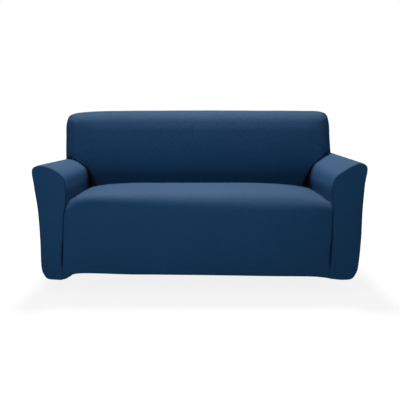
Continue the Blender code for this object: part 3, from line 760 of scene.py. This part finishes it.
def back_strip():
    """The strip over the top and down both ends of the backrest."""
    run = run_of(OUTLINE)
    places = np.interp(graded(run[-1], "fold", "fold"), run, np.arange(len(run)))
    outline = at_places(OUTLINE, places)
    inward = at_places(INWARD, places)
    seam_angle = math.acos(1 - (SEAM_INSET - JOIN_GAP / 2) / EDGE_ROLL)
    arcs = graded(seam_angle * EDGE_ROLL, "join", "loose", ROLL_STEP)
    lines = []
    for inset in EDGE_ROLL * (1 - np.cos(seam_angle - arcs / EDGE_ROLL)):
        lines.append(on_back(outline + inward * inset, roll_back(inset)))
    front = lines[-1]
    rear = with_depth(outline, rear_depth(outline[:, 1]) - STRETCHED_ON - SEAM_GAP)
    width = float(np.linalg.norm(rear - front, axis=1).mean())
    lines += [front + (rear - front) * share for share in graded(width, "loose", "seam")[1:] / width]
    points = np.stack(lines)
    for side, end in SIDE_ENDS:
        for point in points[:, end]:
            across = abs(point[0])
            under = max(arm_top(side, x, point[1]) for x in (across, across - STRETCHED_ON))
            point[2] = under - FOOT_SINK
    return [Grid(points, laid_out(run_of(outline), points[..., 1]), ("join", "seam", "fold", "fold"))]


def outside_back():
    """The back of the cover, from the top of the backrest down to the rear hem."""
    start, end = CORNERS
    lower = {s: arm_section(s, REAR_DEPTH)[ARM_AT["back foot"] + FINE :][::-1] for s in (-1, 1)}
    left = np.vstack([lower[-1], OUTLINE[: start + 1]])
    right = np.vstack([lower[1], OUTLINE[end:][::-1]])
    top = OUTLINE[start : end + 1]
    hem = hem_between(REAR_HEM, left[0], right[0], len(top))
    hem[0] = left[0]
    hem[-1] = right[0]
    edges = ("hem", "seam", "seam", "seam")
    flat, _, _ = filled((hem, top, left, right), edges, REAR_STEP)
    points = draw_in(with_depth(flat, rear_depth(flat[..., 1])), edges)
    return [Grid(points, points[..., [0, 2]], edges)]


DROP_SHARES = (graded(DROP_LENGTH, "loose", "hem") / DROP_LENGTH)[1:]


def seat_column(side, across):
    """A line of the seat and front drop, from behind the seat over its front edge to the hem.

    `across` runs from 0 in the middle to 1 at an arm. With it comes the line that its edge
    is pushed in to where it is tucked down beside an arm.
    """
    corner = LEFT_CORNER if side < 0 else RIGHT_CORNER
    fullness = (1 - across**corner.flatness) ** SEAT_SHOULDER
    end = side * across * seat_edge(side, SEAT_LINE)
    rear = float(back_face(end, SEAT_LINE) + hollow_depth(end, SEAT_LINE)) - CREVICE_GAP
    deck_rear = rear - SEAT_REAR_TURN
    roll = corner.roll + (SEAT_ROLL - corner.roll) * fullness**corner.growth
    roll += ROLL_SKEW * side * across * fullness
    front = -FRONT_BULGE * fullness

    def deck_height(depth):
        swell = SEAT_CROWN_REAR + SEAT_CROWN_MORE * np.sin(np.pi * depth / rear)
        stuffed = corner.stuffing * (1 - fullness) * np.exp(-((depth / STUFFED_REACH) ** 2))
        return SEAT_LINE + (swell + stuffed) * fullness

    # Each point is (depth, height, the two parts of the direction into the sofa, push in)
    turn_centre = deck_height(rear) - SEAT_REAR_TURN
    deck = []
    for height in np.linspace(SEAT_REAR_BOTTOM, turn_centre, REAR_STEPS + 1)[:-1]:
        deck.append((rear, height, -1, 0, SEAT_TUCK_LEAST))
    for angle in np.radians(np.linspace(0, 90, TURN_STEPS + 1)[:-1]):
        back, up = np.cos(angle), np.sin(angle)
        turned = (deck_rear + SEAT_REAR_TURN * back, turn_centre + SEAT_REAR_TURN * up)
        deck.append(turned + (-back, -up, SEAT_TUCK_LEAST))
    for depth in np.linspace(deck_rear, front + roll, DECK_STEPS + 1):
        deepening = smooth_step(deck_rear, deck_rear - TUCK_DEEPENS, depth)
        tuck = SEAT_TUCK_LEAST + (SEAT_TUCK - SEAT_TUCK_LEAST) * deepening
        deck.append((depth, deck_height(depth), 0, -1, tuck))

    drop = []
    drop_top = deck_height(front + roll) - roll
    for angle in np.radians(np.linspace(90, 0, ROLL_STEPS + 1)[1:]):
        along, up = np.cos(angle), np.sin(angle)
        drop.append((front + roll - roll * along, drop_top + roll * up, along, -up, SEAT_TUCK))
    hem = float(hem_height(FRONT_HEM, side * across * seat_edge(side, DROP_FOOT)))
    for share in DROP_SHARES:
        depth = front * (1 - share**2) + HEM_TURN * share**HEM_TURN_POWER
        drop.append((depth, drop_top + (hem - drop_top) * share, 1, 0, DROP_TUCK))

    depths, heights, into, down, push = np.array(deck + drop, float).T
    dip = np.exp(-(((depths - DIP_DEPTH) / DIP_REACH) ** 2)) * across**DIP_POWER
    heights = heights - SEAT_DIP * dip * smooth_step(*DIP_HEIGHTS, heights)
    on_deck = np.arange(len(heights)) < len(deck)
    edge = seat_edge(side, np.where(on_deck, np.maximum(heights, SEAT_LINE), heights))
    line = np.column_stack([side * across * edge, depths, heights])
    return line, line + np.column_stack([np.zeros(len(line)), into * push, down * push])


def seat_and_front():
    """The seat, its rolled front edge and the front drop, in one length of cloth."""
    half = (seat_side(-1) + seat_side(1)) / 2
    shares = 1 - graded(half, "fold", "loose") / half
    columns = [seat_column(-1, share)[0] for share in shares[:-1]]
    columns += [seat_column(1, share)[0] for share in shares[::-1]]
    points = np.stack(columns, 1)
    along = run_of(points[:, len(columns) // 2])[:, None]
    grids = [Grid(points, laid_out(points[..., 0], along), ("loose", "hem", "fold", "fold"))]
    for side in (-1, 1):
        line, pushed = seat_column(side, 1.0)
        shares = SEAT_TUCK_LINES / SEAT_TUCK
        turned = np.stack([line + (pushed - line) * share for share in shares], 1)
        turned[..., 0] += side * closing(side, turned[..., 2], shares * DROP_TUCK)
        pattern = laid_out(line[:, :1] + side * SEAT_TUCK_LINES, along)
        grids.append(Grid(turned, pattern, ("loose", "hem", "fold", "loose")))
    return grids


# From grids to cloth

FAR = 1.0  # stands for a distance from an edge that a panel doesn't have
EDGE_KINDS = ("seam", "join", "hem", "fold")
WELD_DIGITS = 5  # points that agree to this many decimals are one point
SORT_WAY = (1.0, 0.6180339887, 0.3819660113)


def edge_distances(grid):
    """For each kind of edge, how far the grid's points are from the nearest one."""
    near = {kind: np.full(grid.points.shape[:2], FAR) for kind in EDGE_KINDS}
    for axis in (0, 1):
        steps = np.linalg.norm(np.diff(grid.points, axis=axis), axis=-1)
        start = np.zeros_like(steps.take([0], axis))
        run = np.concatenate([start, np.cumsum(steps, axis=axis)], axis)
        whole = run.take([-1], axis)
        for kind, distance in zip(grid.edges[2 * axis : 2 * axis + 2], (run, whole - run)):
            if kind in near:
                near[kind] = np.minimum(near[kind], distance)
    return near


def welded(grids):
    """Points, faces, pattern and edge distances of grids that share some edges.

    Last come the numbers of the points in each grid.
    """
    points = np.vstack([grid.points.reshape(-1, 3) for grid in grids])
    pattern = np.vstack([grid.pattern.reshape(-1, 2) for grid in grids])
    rounded = np.round(points, WELD_DIGITS)
    _, first, index = np.unique(rounded, axis=0, return_index=True, return_inverse=True)
    index = index.reshape(-1)
    near = {kind: np.full(len(first), FAR) for kind in EDGE_KINDS}
    faces, places = [], []
    start = 0
    for grid in grids:
        shape = grid.points.shape[:2]
        place = index[start : start + shape[0] * shape[1]].reshape(shape)
        start += place.size
        corners = (place[:-1, :-1], place[:-1, 1:], place[1:, 1:], place[1:, :-1])
        faces.append(np.stack(corners, -1).reshape(-1, 4))
        places.append(place)
        for kind, distance in edge_distances(grid).items():
            np.minimum.at(near[kind], place.reshape(-1), distance.reshape(-1))
    return points[first], np.vstack(faces), pattern[first], near, places


def rolled_in(distance, radius):
    """How deep a surface lies at a distance from an edge where it turns away in a quarter round."""
    reach = np.clip(radius - distance, 0.0, radius)
    return radius - np.sqrt(radius**2 - reach**2)


def swelling(name, points):
    """How far the filling swells a panel, and on the backrest how far its pockets sink."""
    raised = np.zeros(len(points))
    for height, sine, sine_phase, cosine, cosine_phase in SWELLS:
        raised += height * np.sin(points @ sine + sine_phase) * np.cos(points @ cosine + cosine_phase)
    if name == "inside_back":
        x, _, z = points.T
        upright = smooth_step(*FULL_FROM, z) * smooth_step(*FULL_TO, z)
        raised += FULLNESS * upright * smooth_step(*FULL_SIDES, np.abs(x)) - hollow_depth(x, z)
    return raised


def crease_depth(crease, points):
    """How deep each point lies in a crease."""
    width, depth, *line = crease
    line = np.array(line)
    nearest = np.full(len(points), FAR)
    place = np.zeros(len(points))
    run = run_of(line)
    for a, b, start in zip(line, line[1:], run):
        along = b - a
        t = np.clip((points - a) @ along / (along @ along), 0.0, 1.0)
        distance = np.linalg.norm(points - a - t[:, None] * along, axis=1)
        closer = distance < nearest
        nearest = np.where(closer, distance, nearest)
        place = np.where(closer, (start + t * np.linalg.norm(along)) / run[-1], place)
    fade = np.sin(np.pi * (CREASE_START + (1 - 2 * CREASE_START) * place)) ** CREASE_FADE
    across = nearest / width
    trough = np.exp(-(across**2)) - RIM_HEIGHT * np.exp(-((across - RIM_PLACE) ** 2))
    return depth * fade * trough


def relief(name, points, near):
    """How far each point of a panel is raised off its plain shape, along its normal."""
    raised = swelling(name, points)
    raised -= rolled_in(near["seam"], SEAM_ROLL) + rolled_in(near["join"], JOIN_ROLL)
    if name not in END_PANELS:
        raised -= ROUND_DEPTH * np.clip(1 - near["seam"] / ROUND_REACH, 0.0, 1.0) ** 2
    turned = np.minimum(rolled_in(near["fold"], FOLD_ROLL), (1 - math.sqrt(0.5)) * FOLD_ROLL)
    raised -= np.where(near["fold"] < TINY, (math.sqrt(2) - 1) * FOLD_ROLL, turned)
    raised -= rolled_in(near["hem"], HEM_ROLL)
    raised += HEM_STEP * smooth_step(HEM_WIDTH + HEM_EASE, HEM_WIDTH - HEM_EASE, near["hem"])
    for height in STITCH_ROWS:
        raised -= STITCH_SINK * smooth_step(SINK_REACH, 0.0, np.abs(near["hem"] - height))
    for crease in CREASES.get(name, ()):
        raised -= crease_depth(crease, points)
    return raised


def painted_light_masks(name, points, normals, near):
    """Where a panel gets its painted shade and painted highlight, at each of its points."""
    x, y, z = points.T
    masks = dict(near, sunk=np.full(len(points), FAR), hollow=np.zeros(len(points)))
    # Painted highlight where the cloth faces up.
    masks["raised"] = smooth_step(PAINTED_TOP_LIGHT_FROM, PAINTED_TOP_LIGHT_TO, normals[:, 2])
    if name == "inside_back":
        # Painted shade down the crevice behind the seat, and in the pockets beside the arms.
        masks["sunk"] = z - SEAT_CREVICE
        opening, inside = hollow(x, z)
        masks["hollow"] = inside * smooth_step(0.0, POCKET_SHADE_EASE, opening)
    elif name.startswith("arm_wrap"):
        # Painted shade on the arm's inner side, low down at its rear, beside the pocket.
        way_in = [smooth_step(*ends, at) for ends, at in zip(ARM_POCKET_SHADE, (np.abs(x), y, z))]
        masks["hollow"] = np.prod(way_in, axis=0)
    return masks


def far_along(*verts):
    """How far along the slanting line SORT_WAY some points of a mesh lie, all added up."""
    return math.fsum(way * place for vert in verts for way, place in zip(SORT_WAY, vert.co))


def turn_seams_in(mesh, normals, sewn):
    """Adds the seam allowance, a narrow strip that turns in behind each sewn edge."""
    build = bmesh.new()
    build.from_mesh(mesh)
    edges = [e for e in build.edges if e.is_boundary and all(sewn[v.index] for v in e.verts)]
    away = {v.index: e.link_faces[0].calc_center_median() - v.co for e in edges for v in e.verts}
    made = bmesh.ops.extrude_edge_only(build, edges=edges)["geom"]
    build.verts.index_update()
    for vert in made:
        if not isinstance(vert, bmesh.types.BMVert):
            continue
        others = [edge.other_vert(vert).index for edge in vert.link_edges]
        source = next(index for index in others if index < len(sewn))
        aside = away[source].normalized() * ALLOWANCE_SLOPE
        vert.co += aside - Vector(normals[source]) * ALLOWANCE
    # The strips come in no fixed order, so every part is put in order.
    build.verts.sort(key=far_along)
    for parts in (build.edges, build.faces):
        parts.sort(key=lambda part: far_along(*part.verts))
    build.to_mesh(mesh)
    build.free()


def face_outwards(mesh, facing):
    """Turns all faces one way, so that most of them look towards `facing`."""
    build = bmesh.new()
    build.from_mesh(mesh)
    bmesh.ops.recalc_face_normals(build, faces=build.faces)
    toward = sum(face.normal.dot(facing) * face.calc_area() for face in build.faces)
    if toward < 0:
        bmesh.ops.reverse_faces(build, faces=build.faces)
    build.to_mesh(mesh)
    build.free()


def keep_on_points(mesh, name, kind, values):
    """Stores numbers (FLOAT) or vectors (FLOAT2, FLOAT_VECTOR) on a mesh's points."""
    layer = mesh.attributes.new(name, kind, "POINT")
    layer.data.foreach_set("value" if kind == "FLOAT" else "vector", values.ravel())


def put_in_scene(name, data):
    thing = bpy.data.objects.new(name, data)
    bpy.context.scene.collection.objects.link(thing)
    return thing


def cloth(panel, material):
    """A panel's piece of cloth, thickened inwards, and each grid's points and normals outside."""
    points, faces, pattern, near, places = welded(panel.grids)
    mesh = bpy.data.meshes.new(panel.name)
    mesh.from_pydata(points.tolist(), [], faces.tolist())
    face_outwards(mesh, panel.facing)
    normals = np.empty(points.size)
    mesh.vertex_normals.foreach_get("vector", normals)
    normals = normals.reshape(-1, 3)
    if panel.name in FRONT_PANELS:
        near["fold"] = near["fold"] + np.interp(points[:, 2], *np.array(SLIT_CLOSED).T)
    masks = painted_light_masks(panel.name, points, normals, near)
    points = points + normals * relief(panel.name, points, near)[:, None] - HELD_AT
    mesh.vertices.foreach_set("co", points.ravel())
    keep_on_points(mesh, "knit", "FLOAT2", pattern)
    for mask, values in masks.items():
        keep_on_points(mesh, mask, "FLOAT", values)
    if panel.name in ROUND_PANELS:
        turn_seams_in(mesh, normals, np.minimum(near["seam"], near["join"]) < TINY)
    mesh.update()
    mesh.shade_smooth()
    mesh.materials.append(material)
    piece = put_in_scene(panel.name + "_cloth", mesh)
    wall = piece.modifiers.new("thickness", "SOLIDIFY")
    wall.thickness = CLOTH
    wall.offset = -1.0
    return piece, [(points[place], normals[place]) for place in places]


# Nodes

class Adder:
    """Adds nodes to a tree, each with its settings, its values and what feeds it.

    A node that is given as a value feeds in its first output.
    """

    def __init__(self, tree):
        self.tree = tree

    def __call__(self, kind, inputs=None, **settings):
        node = self.tree.nodes.new(kind)
        for name, value in settings.items():
            setattr(node, name, value)
        self.feed(node, inputs or {})
        return node

    def feed(self, node, inputs):
        """Sets or links each of these inputs of a node."""
        for name, value in inputs.items():
            if isinstance(value, bpy.types.Node):
                value = value.outputs[0]
            if isinstance(value, bpy.types.NodeSocket):
                self.tree.links.new(value, node.inputs[name])
            else:
                node.inputs[name].default_value = value

    def group(self, tree, inputs):
        """A node that runs a group."""
        return self("ShaderNodeGroup", inputs, node_tree=tree)

    def sum(self, operation, first, second=0.0, third=0.0, clamp=False):
        """One arithmetic step."""
        values = {0: first, 1: second, 2: third}
        return self("ShaderNodeMath", values, operation=operation, use_clamp=clamp)

    def cosine(self, turns):
        """A cosine that comes round once in a turn."""
        return self.sum("COSINE", self.sum("MULTIPLY", turns, math.tau))

    def eased(self, value, limits):
        """A value mapped on to the given limits, with a soft start and end."""
        return self("ShaderNodeMapRange", {"Value": value} | limits, interpolation_type="SMOOTHSTEP")

    def spot(self):
        """The place on the cover itself."""
        return self("ShaderNodeTexCoord").outputs["Object"]

    def mask(self, name, output="Fac"):
        """What is stored under this name on the mesh."""
        return self("ShaderNodeAttribute", attribute_name=name).outputs[output]


SOCKET_KINDS = {"Vector": "Vector", "Geometry": "Geometry", "Thread": "Material"}  # others: Float


def new_group(name, inputs, outputs, kind="ShaderNodeTree"):
    """An empty node group with these sockets, with its adder and what comes into it."""
    tree = bpy.data.node_groups.new(name, kind)
    for way, sockets in (("OUTPUT", outputs), ("INPUT", inputs)):
        for socket in sockets:
            value = "NodeSocket" + SOCKET_KINDS.get(socket, "Float")
            tree.interface.new_socket(socket, in_out=way, socket_type=value)
    add = Adder(tree)
    return tree, add, add("NodeGroupInput").outputs


def new_material(name):
    """A material, its adder and its Principled shader."""
    material = bpy.data.materials.new(name)
    material.use_nodes = True
    return material, Adder(material.node_tree), material.node_tree.nodes["Principled BSDF"]


# Stitching

def stitch_lines(grids, outside):
    """The rows of stitching above a panel's hem, each as its points and the way out of the cloth."""
    lines = []
    for grid, (points, normals) in zip(grids, outside):
        if "hem" not in grid.edges[:2]:
            continue
        if grid.edges[0] != "hem":
            points, normals = points[::-1], normals[::-1]
        columns = list(zip(points.swapaxes(0, 1), normals.swapaxes(0, 1)))
        for height in STITCH_ROWS:
            line = [at_marks(column, height) for column, _ in columns]
            out = [between(height, run_of(column), normal) for column, normal in columns]
            lines.append((np.array(line), np.array(out)))
    return lines


def stitch_tree():
    """Geometry nodes that lay one small stitch after another along the lines of a mesh."""
    inputs = ["Geometry", *STITCH, "Thread"]
    tree, add, given = new_group("stitch_row", inputs, ["Geometry"], "GeometryNodeTree")
    tree.is_modifier = True
    lines = add("GeometryNodeMeshToCurve", {"Mesh": given["Geometry"]})
    spacing = {"Curve": lines, "Length": given["Pitch"]}
    spaced = add("GeometryNodeResampleCurve", spacing, mode="LENGTH")
    out = add("GeometryNodeInputNamedAttribute", {"Name": "outward"}, data_type="FLOAT_VECTOR")
    tangent = {"Vector": add("GeometryNodeInputTangent")}
    along = add("FunctionNodeAlignRotationToVector", tangent, axis="X")
    turning = {"Rotation": along, "Vector": out}
    upright = add("FunctionNodeAlignRotationToVector", turning, axis="Z", pivot_axis="X")
    sizes = {"X": given["Length"], "Y": given["Width"], "Z": given["Height"]}
    bead = add("GeometryNodeMeshIcoSphere", {"Radius": 0.5, "Subdivisions": 1})
    scaling = {"Geometry": bead, "Scale": add("ShaderNodeCombineXYZ", sizes)}
    stitch = add("GeometryNodeTransform", scaling)
    laying = {"Points": spaced, "Instance": stitch, "Rotation": upright}
    stitches = add("GeometryNodeInstanceOnPoints", laying)
    real = add("GeometryNodeRealizeInstances", {"Geometry": stitches})
    threaded = add("GeometryNodeSetMaterial", {"Geometry": real, "Material": given["Thread"]})
    add("NodeGroupOutput", {"Geometry": threaded})
    return tree


def hem_stitches(name, lines, tree, thread):
    """The stitches of a panel's hem, as one plain mesh."""
    edges = []
    start = 0
    for line, _ in lines:
        edges += [(start + i, start + i + 1) for i in range(len(line) - 1)]
        start += len(line)
    mesh = bpy.data.meshes.new(name)
    mesh.from_pydata(np.vstack([line for line, _ in lines]).tolist(), edges, [])
    keep_on_points(mesh, "outward", "FLOAT_VECTOR", np.vstack([out for _, out in lines]))
    piece = put_in_scene(name, mesh)
    sewing = piece.modifiers.new("sewing", "NODES")
    sewing.node_group = tree
    values = dict(STITCH, Thread=thread)
    for socket in tree.interface.items_tree:
        if socket.name in values:
            sewing[socket.identifier] = values[socket.name]
    bpy.context.view_layer.update()
    graph = bpy.context.evaluated_depsgraph_get()
    sewn = bpy.data.meshes.new_from_object(piece.evaluated_get(graph))
    piece.modifiers.clear()
    piece.data = sewn
    bpy.data.meshes.remove(mesh)
    sewn.shade_smooth()
    return piece


# Materials

def knit_group():
    """Rows of knitted loops, and the small raised diamonds that are knitted into them."""
    tree, add, given = new_group("knit_loops", ["Vector", *KNIT_SIZES], ["Loops", "Diamonds"])
    place = add("ShaderNodeSeparateXYZ", {"Vector": given["Vector"]}).outputs
    # The two legs of a loop lean together, so a row of loops is a row of Vs.
    leg = add.sum("PINGPONG", add.sum("DIVIDE", place["X"], given["Loop Width"]), 0.5)
    row = add.sum("DIVIDE", place["Y"], given["Loop Height"])
    leaning = add.sum("MULTIPLY_ADD", leg, LOOP_LEAN, row)
    yarn = add.sum("MULTIPLY_ADD", add.cosine(leaning), 0.5, 0.5)
    wale = add.sum("SINE", add.sum("MULTIPLY", leg, math.tau))
    loops = add.sum("MULTIPLY", yarn, add.sum("POWER", wale, WALE_POWER))
    across = add.cosine(add.sum("DIVIDE", place["X"], given["Diamond Width"]))
    along = add.cosine(add.sum("DIVIDE", place["Y"], given["Diamond Height"]))
    add("NodeGroupOutput", {"Loops": loops, "Diamonds": add.sum("MULTIPLY", across, along)})
    return tree


def mottle_group():
    """Slow, soft changes over a surface, around 1."""
    tree, add, given = new_group("mottle", ["Vector", "Scale", "Strength"], ["Factor"])
    cloud = {"Vector": given["Vector"], "Scale": given["Scale"], "Detail": 3.0, "Roughness": 0.55}
    spread = add.sum("MULTIPLY_ADD", add("ShaderNodeTexNoise", cloud), 2.0, -1.0)
    add("NodeGroupOutput", {"Factor": add.sum("MULTIPLY_ADD", spread, given["Strength"], 1.0)})
    return tree


def edge_group():
    """Painted shade, darker towards an edge, from the distance to it."""
    tree, add, given = new_group("edge_shade", ["Distance", "Reach", "Darkest"], ["Factor"])
    away = add.sum("DIVIDE", given["Distance"], given["Reach"], clamp=True)
    add("NodeGroupOutput", {"Factor": add.eased(away, {"To Min": given["Darkest"], "To Max": 1.0})})
    return tree


def dress(add, shader, colour, factors, roughness, bump, finish):
    """Gives a shader its colour, tinted by each factor, its roughness, its bump and its finish."""
    for factor in factors:
        colour = add("ShaderNodeVectorMath", {0: colour, 1: factor}, operation="MULTIPLY")
    roughness = add.sum("MULTIPLY", *roughness, clamp=True)
    normal = add("ShaderNodeBump", bump)
    add.feed(shader, {"Base Color": colour, "Roughness": roughness, "Normal": normal} | finish)


def knit_material(mottle):
    """Brushed stretch knit in navy."""
    material, add, shader = new_material("navy_stretch_knit")
    knit = add.group(knit_group(), {"Vector": add.mask("knit", "Vector")} | KNIT_SIZES).outputs
    spot = {"Vector": add.spot()}
    broad = add.group(mottle, spot | BROAD_MOTTLE)
    fine = add.group(mottle, spot | FINE_MOTTLE)
    diamonds = add.sum("MULTIPLY_ADD", knit["Diamonds"], DIAMOND_CONTRAST, 1.0)
    loops = add.sum("MULTIPLY_ADD", knit["Loops"], LOOP_CONTRAST, 1 - LOOP_CONTRAST / 2)
    factors = [diamonds, loops, broad, fine]
    edge = edge_group()
    # Painted shade beside each kind of edge, and down the crevice behind the seat.
    for kind, reach, darkest in EDGE_SHADES:
        shade = {"Distance": add.mask(kind), "Reach": reach, "Darkest": darkest}
        factors.append(add.group(edge, shade))
    # Painted highlight where the cloth faces up, and painted shade in the pockets.
    colour_with_painted_light = KNIT_COLOUR
    for mask, shade in (("raised", PAINTED_TOP_LIGHT_COLOUR), ("hollow", POCKET_SHADE_COLOUR)):
        mix = {0: add.mask(mask), 6: colour_with_painted_light, 7: shade}
        colour_with_painted_light = add("ShaderNodeMix", mix, data_type="RGBA").outputs[2]
    height = add.sum("MULTIPLY_ADD", knit["Diamonds"], DIAMOND_HEIGHT_SHARE, knit["Loops"])
    bump = {"Height": height} | KNIT_BUMP
    dress(add, shader, colour_with_painted_light, factors, (fine, KNIT_ROUGHNESS), bump, KNIT_FINISH)
    return material


def thread_material(mottle):
    """Polyester sewing thread, dyed to match."""
    material, add, shader = new_material("navy_thread")
    spot = {"Vector": add.spot()}
    twist = add("ShaderNodeTexWave", spot | TWIST).outputs["Fac"]
    strand = add.sum("MULTIPLY_ADD", twist, STRAND_CONTRAST, 1 - STRAND_CONTRAST / 2)
    uneven = add.group(mottle, spot | THREAD_MOTTLE)
    bump = {"Height": twist} | THREAD_BUMP
    roughness = (uneven, THREAD_ROUGHNESS)
    dress(add, shader, THREAD_COLOUR, [strand, uneven], roughness, bump, THREAD_FINISH)
    return material


# The studio

def area_light(row):
    """A soft box at a place, aimed at another. One with no gloss only fills in shadows."""
    lamp = bpy.data.lights.new(row.name, "AREA")
    lamp.shape = "RECTANGLE"
    lamp.size, lamp.size_y = row.size
    lamp.energy = row.power
    thing = put_in_scene(row.name, lamp)
    thing.location = row.place
    thing.rotation_euler = (Vector(row.aim) - Vector(row.place)).to_track_quat("-Z", "Y").to_euler()
    thing.visible_glossy = row.gloss
    thing.visible_camera = False


def floor_material():
    """Pale matt floor, lit from within where it is seen, so that it runs into the backdrop."""
    material, add, shader = new_material("pale_floor")
    nodes = add.tree.nodes
    nodes.remove(shader)
    rays = add("ShaderNodeLightPath").outputs
    matt = add.sum("MULTIPLY_ADD", rays["Is Glossy Ray"], -FLOOR_BOUNCE, FLOOR_BOUNCE)
    bounce = add("ShaderNodeBsdfDiffuse", {"Color": matt})
    lit = add("ShaderNodeBsdfDiffuse", {"Color": FLOOR_SEEN})
    away = add("ShaderNodeVectorMath", {0: add.spot()}, operation="LENGTH").outputs["Value"]
    limits = dict(zip(("From Min", "From Max", "To Min", "To Max"), (*FLOOR_FADE, FLOOR_GLOW, 1.0)))
    glow = add("ShaderNodeEmission", {"Color": WHITE, "Strength": add.eased(away, limits)})
    seen = add("ShaderNodeAddShader", {0: lit, 1: glow})
    both = add("ShaderNodeMixShader", {0: rays["Is Camera Ray"], 1: bounce, 2: seen})
    add.feed(nodes["Material Output"], {"Surface": both})
    return material


def backdrop():
    """White where it is seen, and a dim even light that gives no gloss."""
    world = bpy.data.worlds.new("studio")
    bpy.context.scene.world = world
    world.use_nodes = True
    world.node_tree.nodes.clear()
    add = Adder(world.node_tree)
    rays = add("ShaderNodeLightPath").outputs
    ambient = add.sum("MULTIPLY", add.sum("SUBTRACT", 1.0, rays["Is Glossy Ray"]), AMBIENT)
    lit = add("ShaderNodeBackground", {"Color": WHITE, "Strength": ambient})
    seen = add("ShaderNodeBackground", {"Color": WHITE, "Strength": 1.0})
    both = add("ShaderNodeMixShader", {0: rays["Is Camera Ray"], 1: lit, 2: seen})
    add("ShaderNodeOutputWorld", {"Surface": both})


def studio():
    """A pale floor that runs off into white, and a big soft light overhead."""
    build = bmesh.new()
    bmesh.ops.create_grid(build, x_segments=1, y_segments=1, size=FLOOR_HALF)
    mesh = bpy.data.meshes.new("floor")
    build.to_mesh(mesh)
    build.free()
    mesh.materials.append(floor_material())
    floor = put_in_scene("floor", mesh)
    floor.location = (0.0, 0.0, -HELD_AT[2])
    backdrop()
    for row in LIGHTS:
        area_light(row)
    lens = bpy.data.cameras.new("camera")
    lens.sensor_width = SENSOR
    lens.lens = SENSOR * CAMERA_FOCUS
    camera = put_in_scene("camera", lens)
    camera.location = np.array(CAMERA_PLACE) - HELD_AT
    camera.rotation_euler = (math.pi / 2 - CAMERA_TILT, 0.0, 0.0)
    bpy.context.scene.camera = camera
    bpy.context.scene.view_settings.view_transform = "Standard"


# The cover. Each panel has the size that it was cut to, width by length in metres, and the
# flat area of that cut. The knit is stretched by 5 to 10% each way when the cover is put on.

PANELS = table(
    "name grids facing cut area",
    ("inside_back", inside_back(), (0, -1, 0), (1.48, 0.49), 0.63),
    ("back_strip", back_strip(), (0, 0, 1), (1.86, 0.18), 0.25),
    ("outside_back", outside_back(), (0, 1, 0), (1.48, 0.77), 1.07),
    ("seat_and_front", seat_and_front(), (0, -1, 1), (1.24, 0.94), 1.16),
    ("arm_wrap_left", arm_wrap(-1), (-0.3, 0, 1), (0.74, 0.90), 0.58),
    ("arm_wrap_right", arm_wrap(1), (0.3, 0, 1), (0.74, 0.90), 0.58),
    ("arm_front_left", arm_front(-1), (0, -1, 0), (0.17, 0.54), 0.074),
    ("arm_front_right", arm_front(1), (0, -1, 0), (0.17, 0.54), 0.074),
)


def main():
    mottle = mottle_group()
    knit = knit_material(mottle)
    thread = thread_material(mottle)
    sewing = stitch_tree()
    for panel in PANELS:
        piece, outside = cloth(panel, knit)
        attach(piece, "root")
        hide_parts(panel.name)
        lines = stitch_lines(panel.grids, outside)
        if lines:
            stitches = hem_stitches(panel.name + "_stitches", lines, sewing, thread)
            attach(stitches, "root")
    studio()


main()
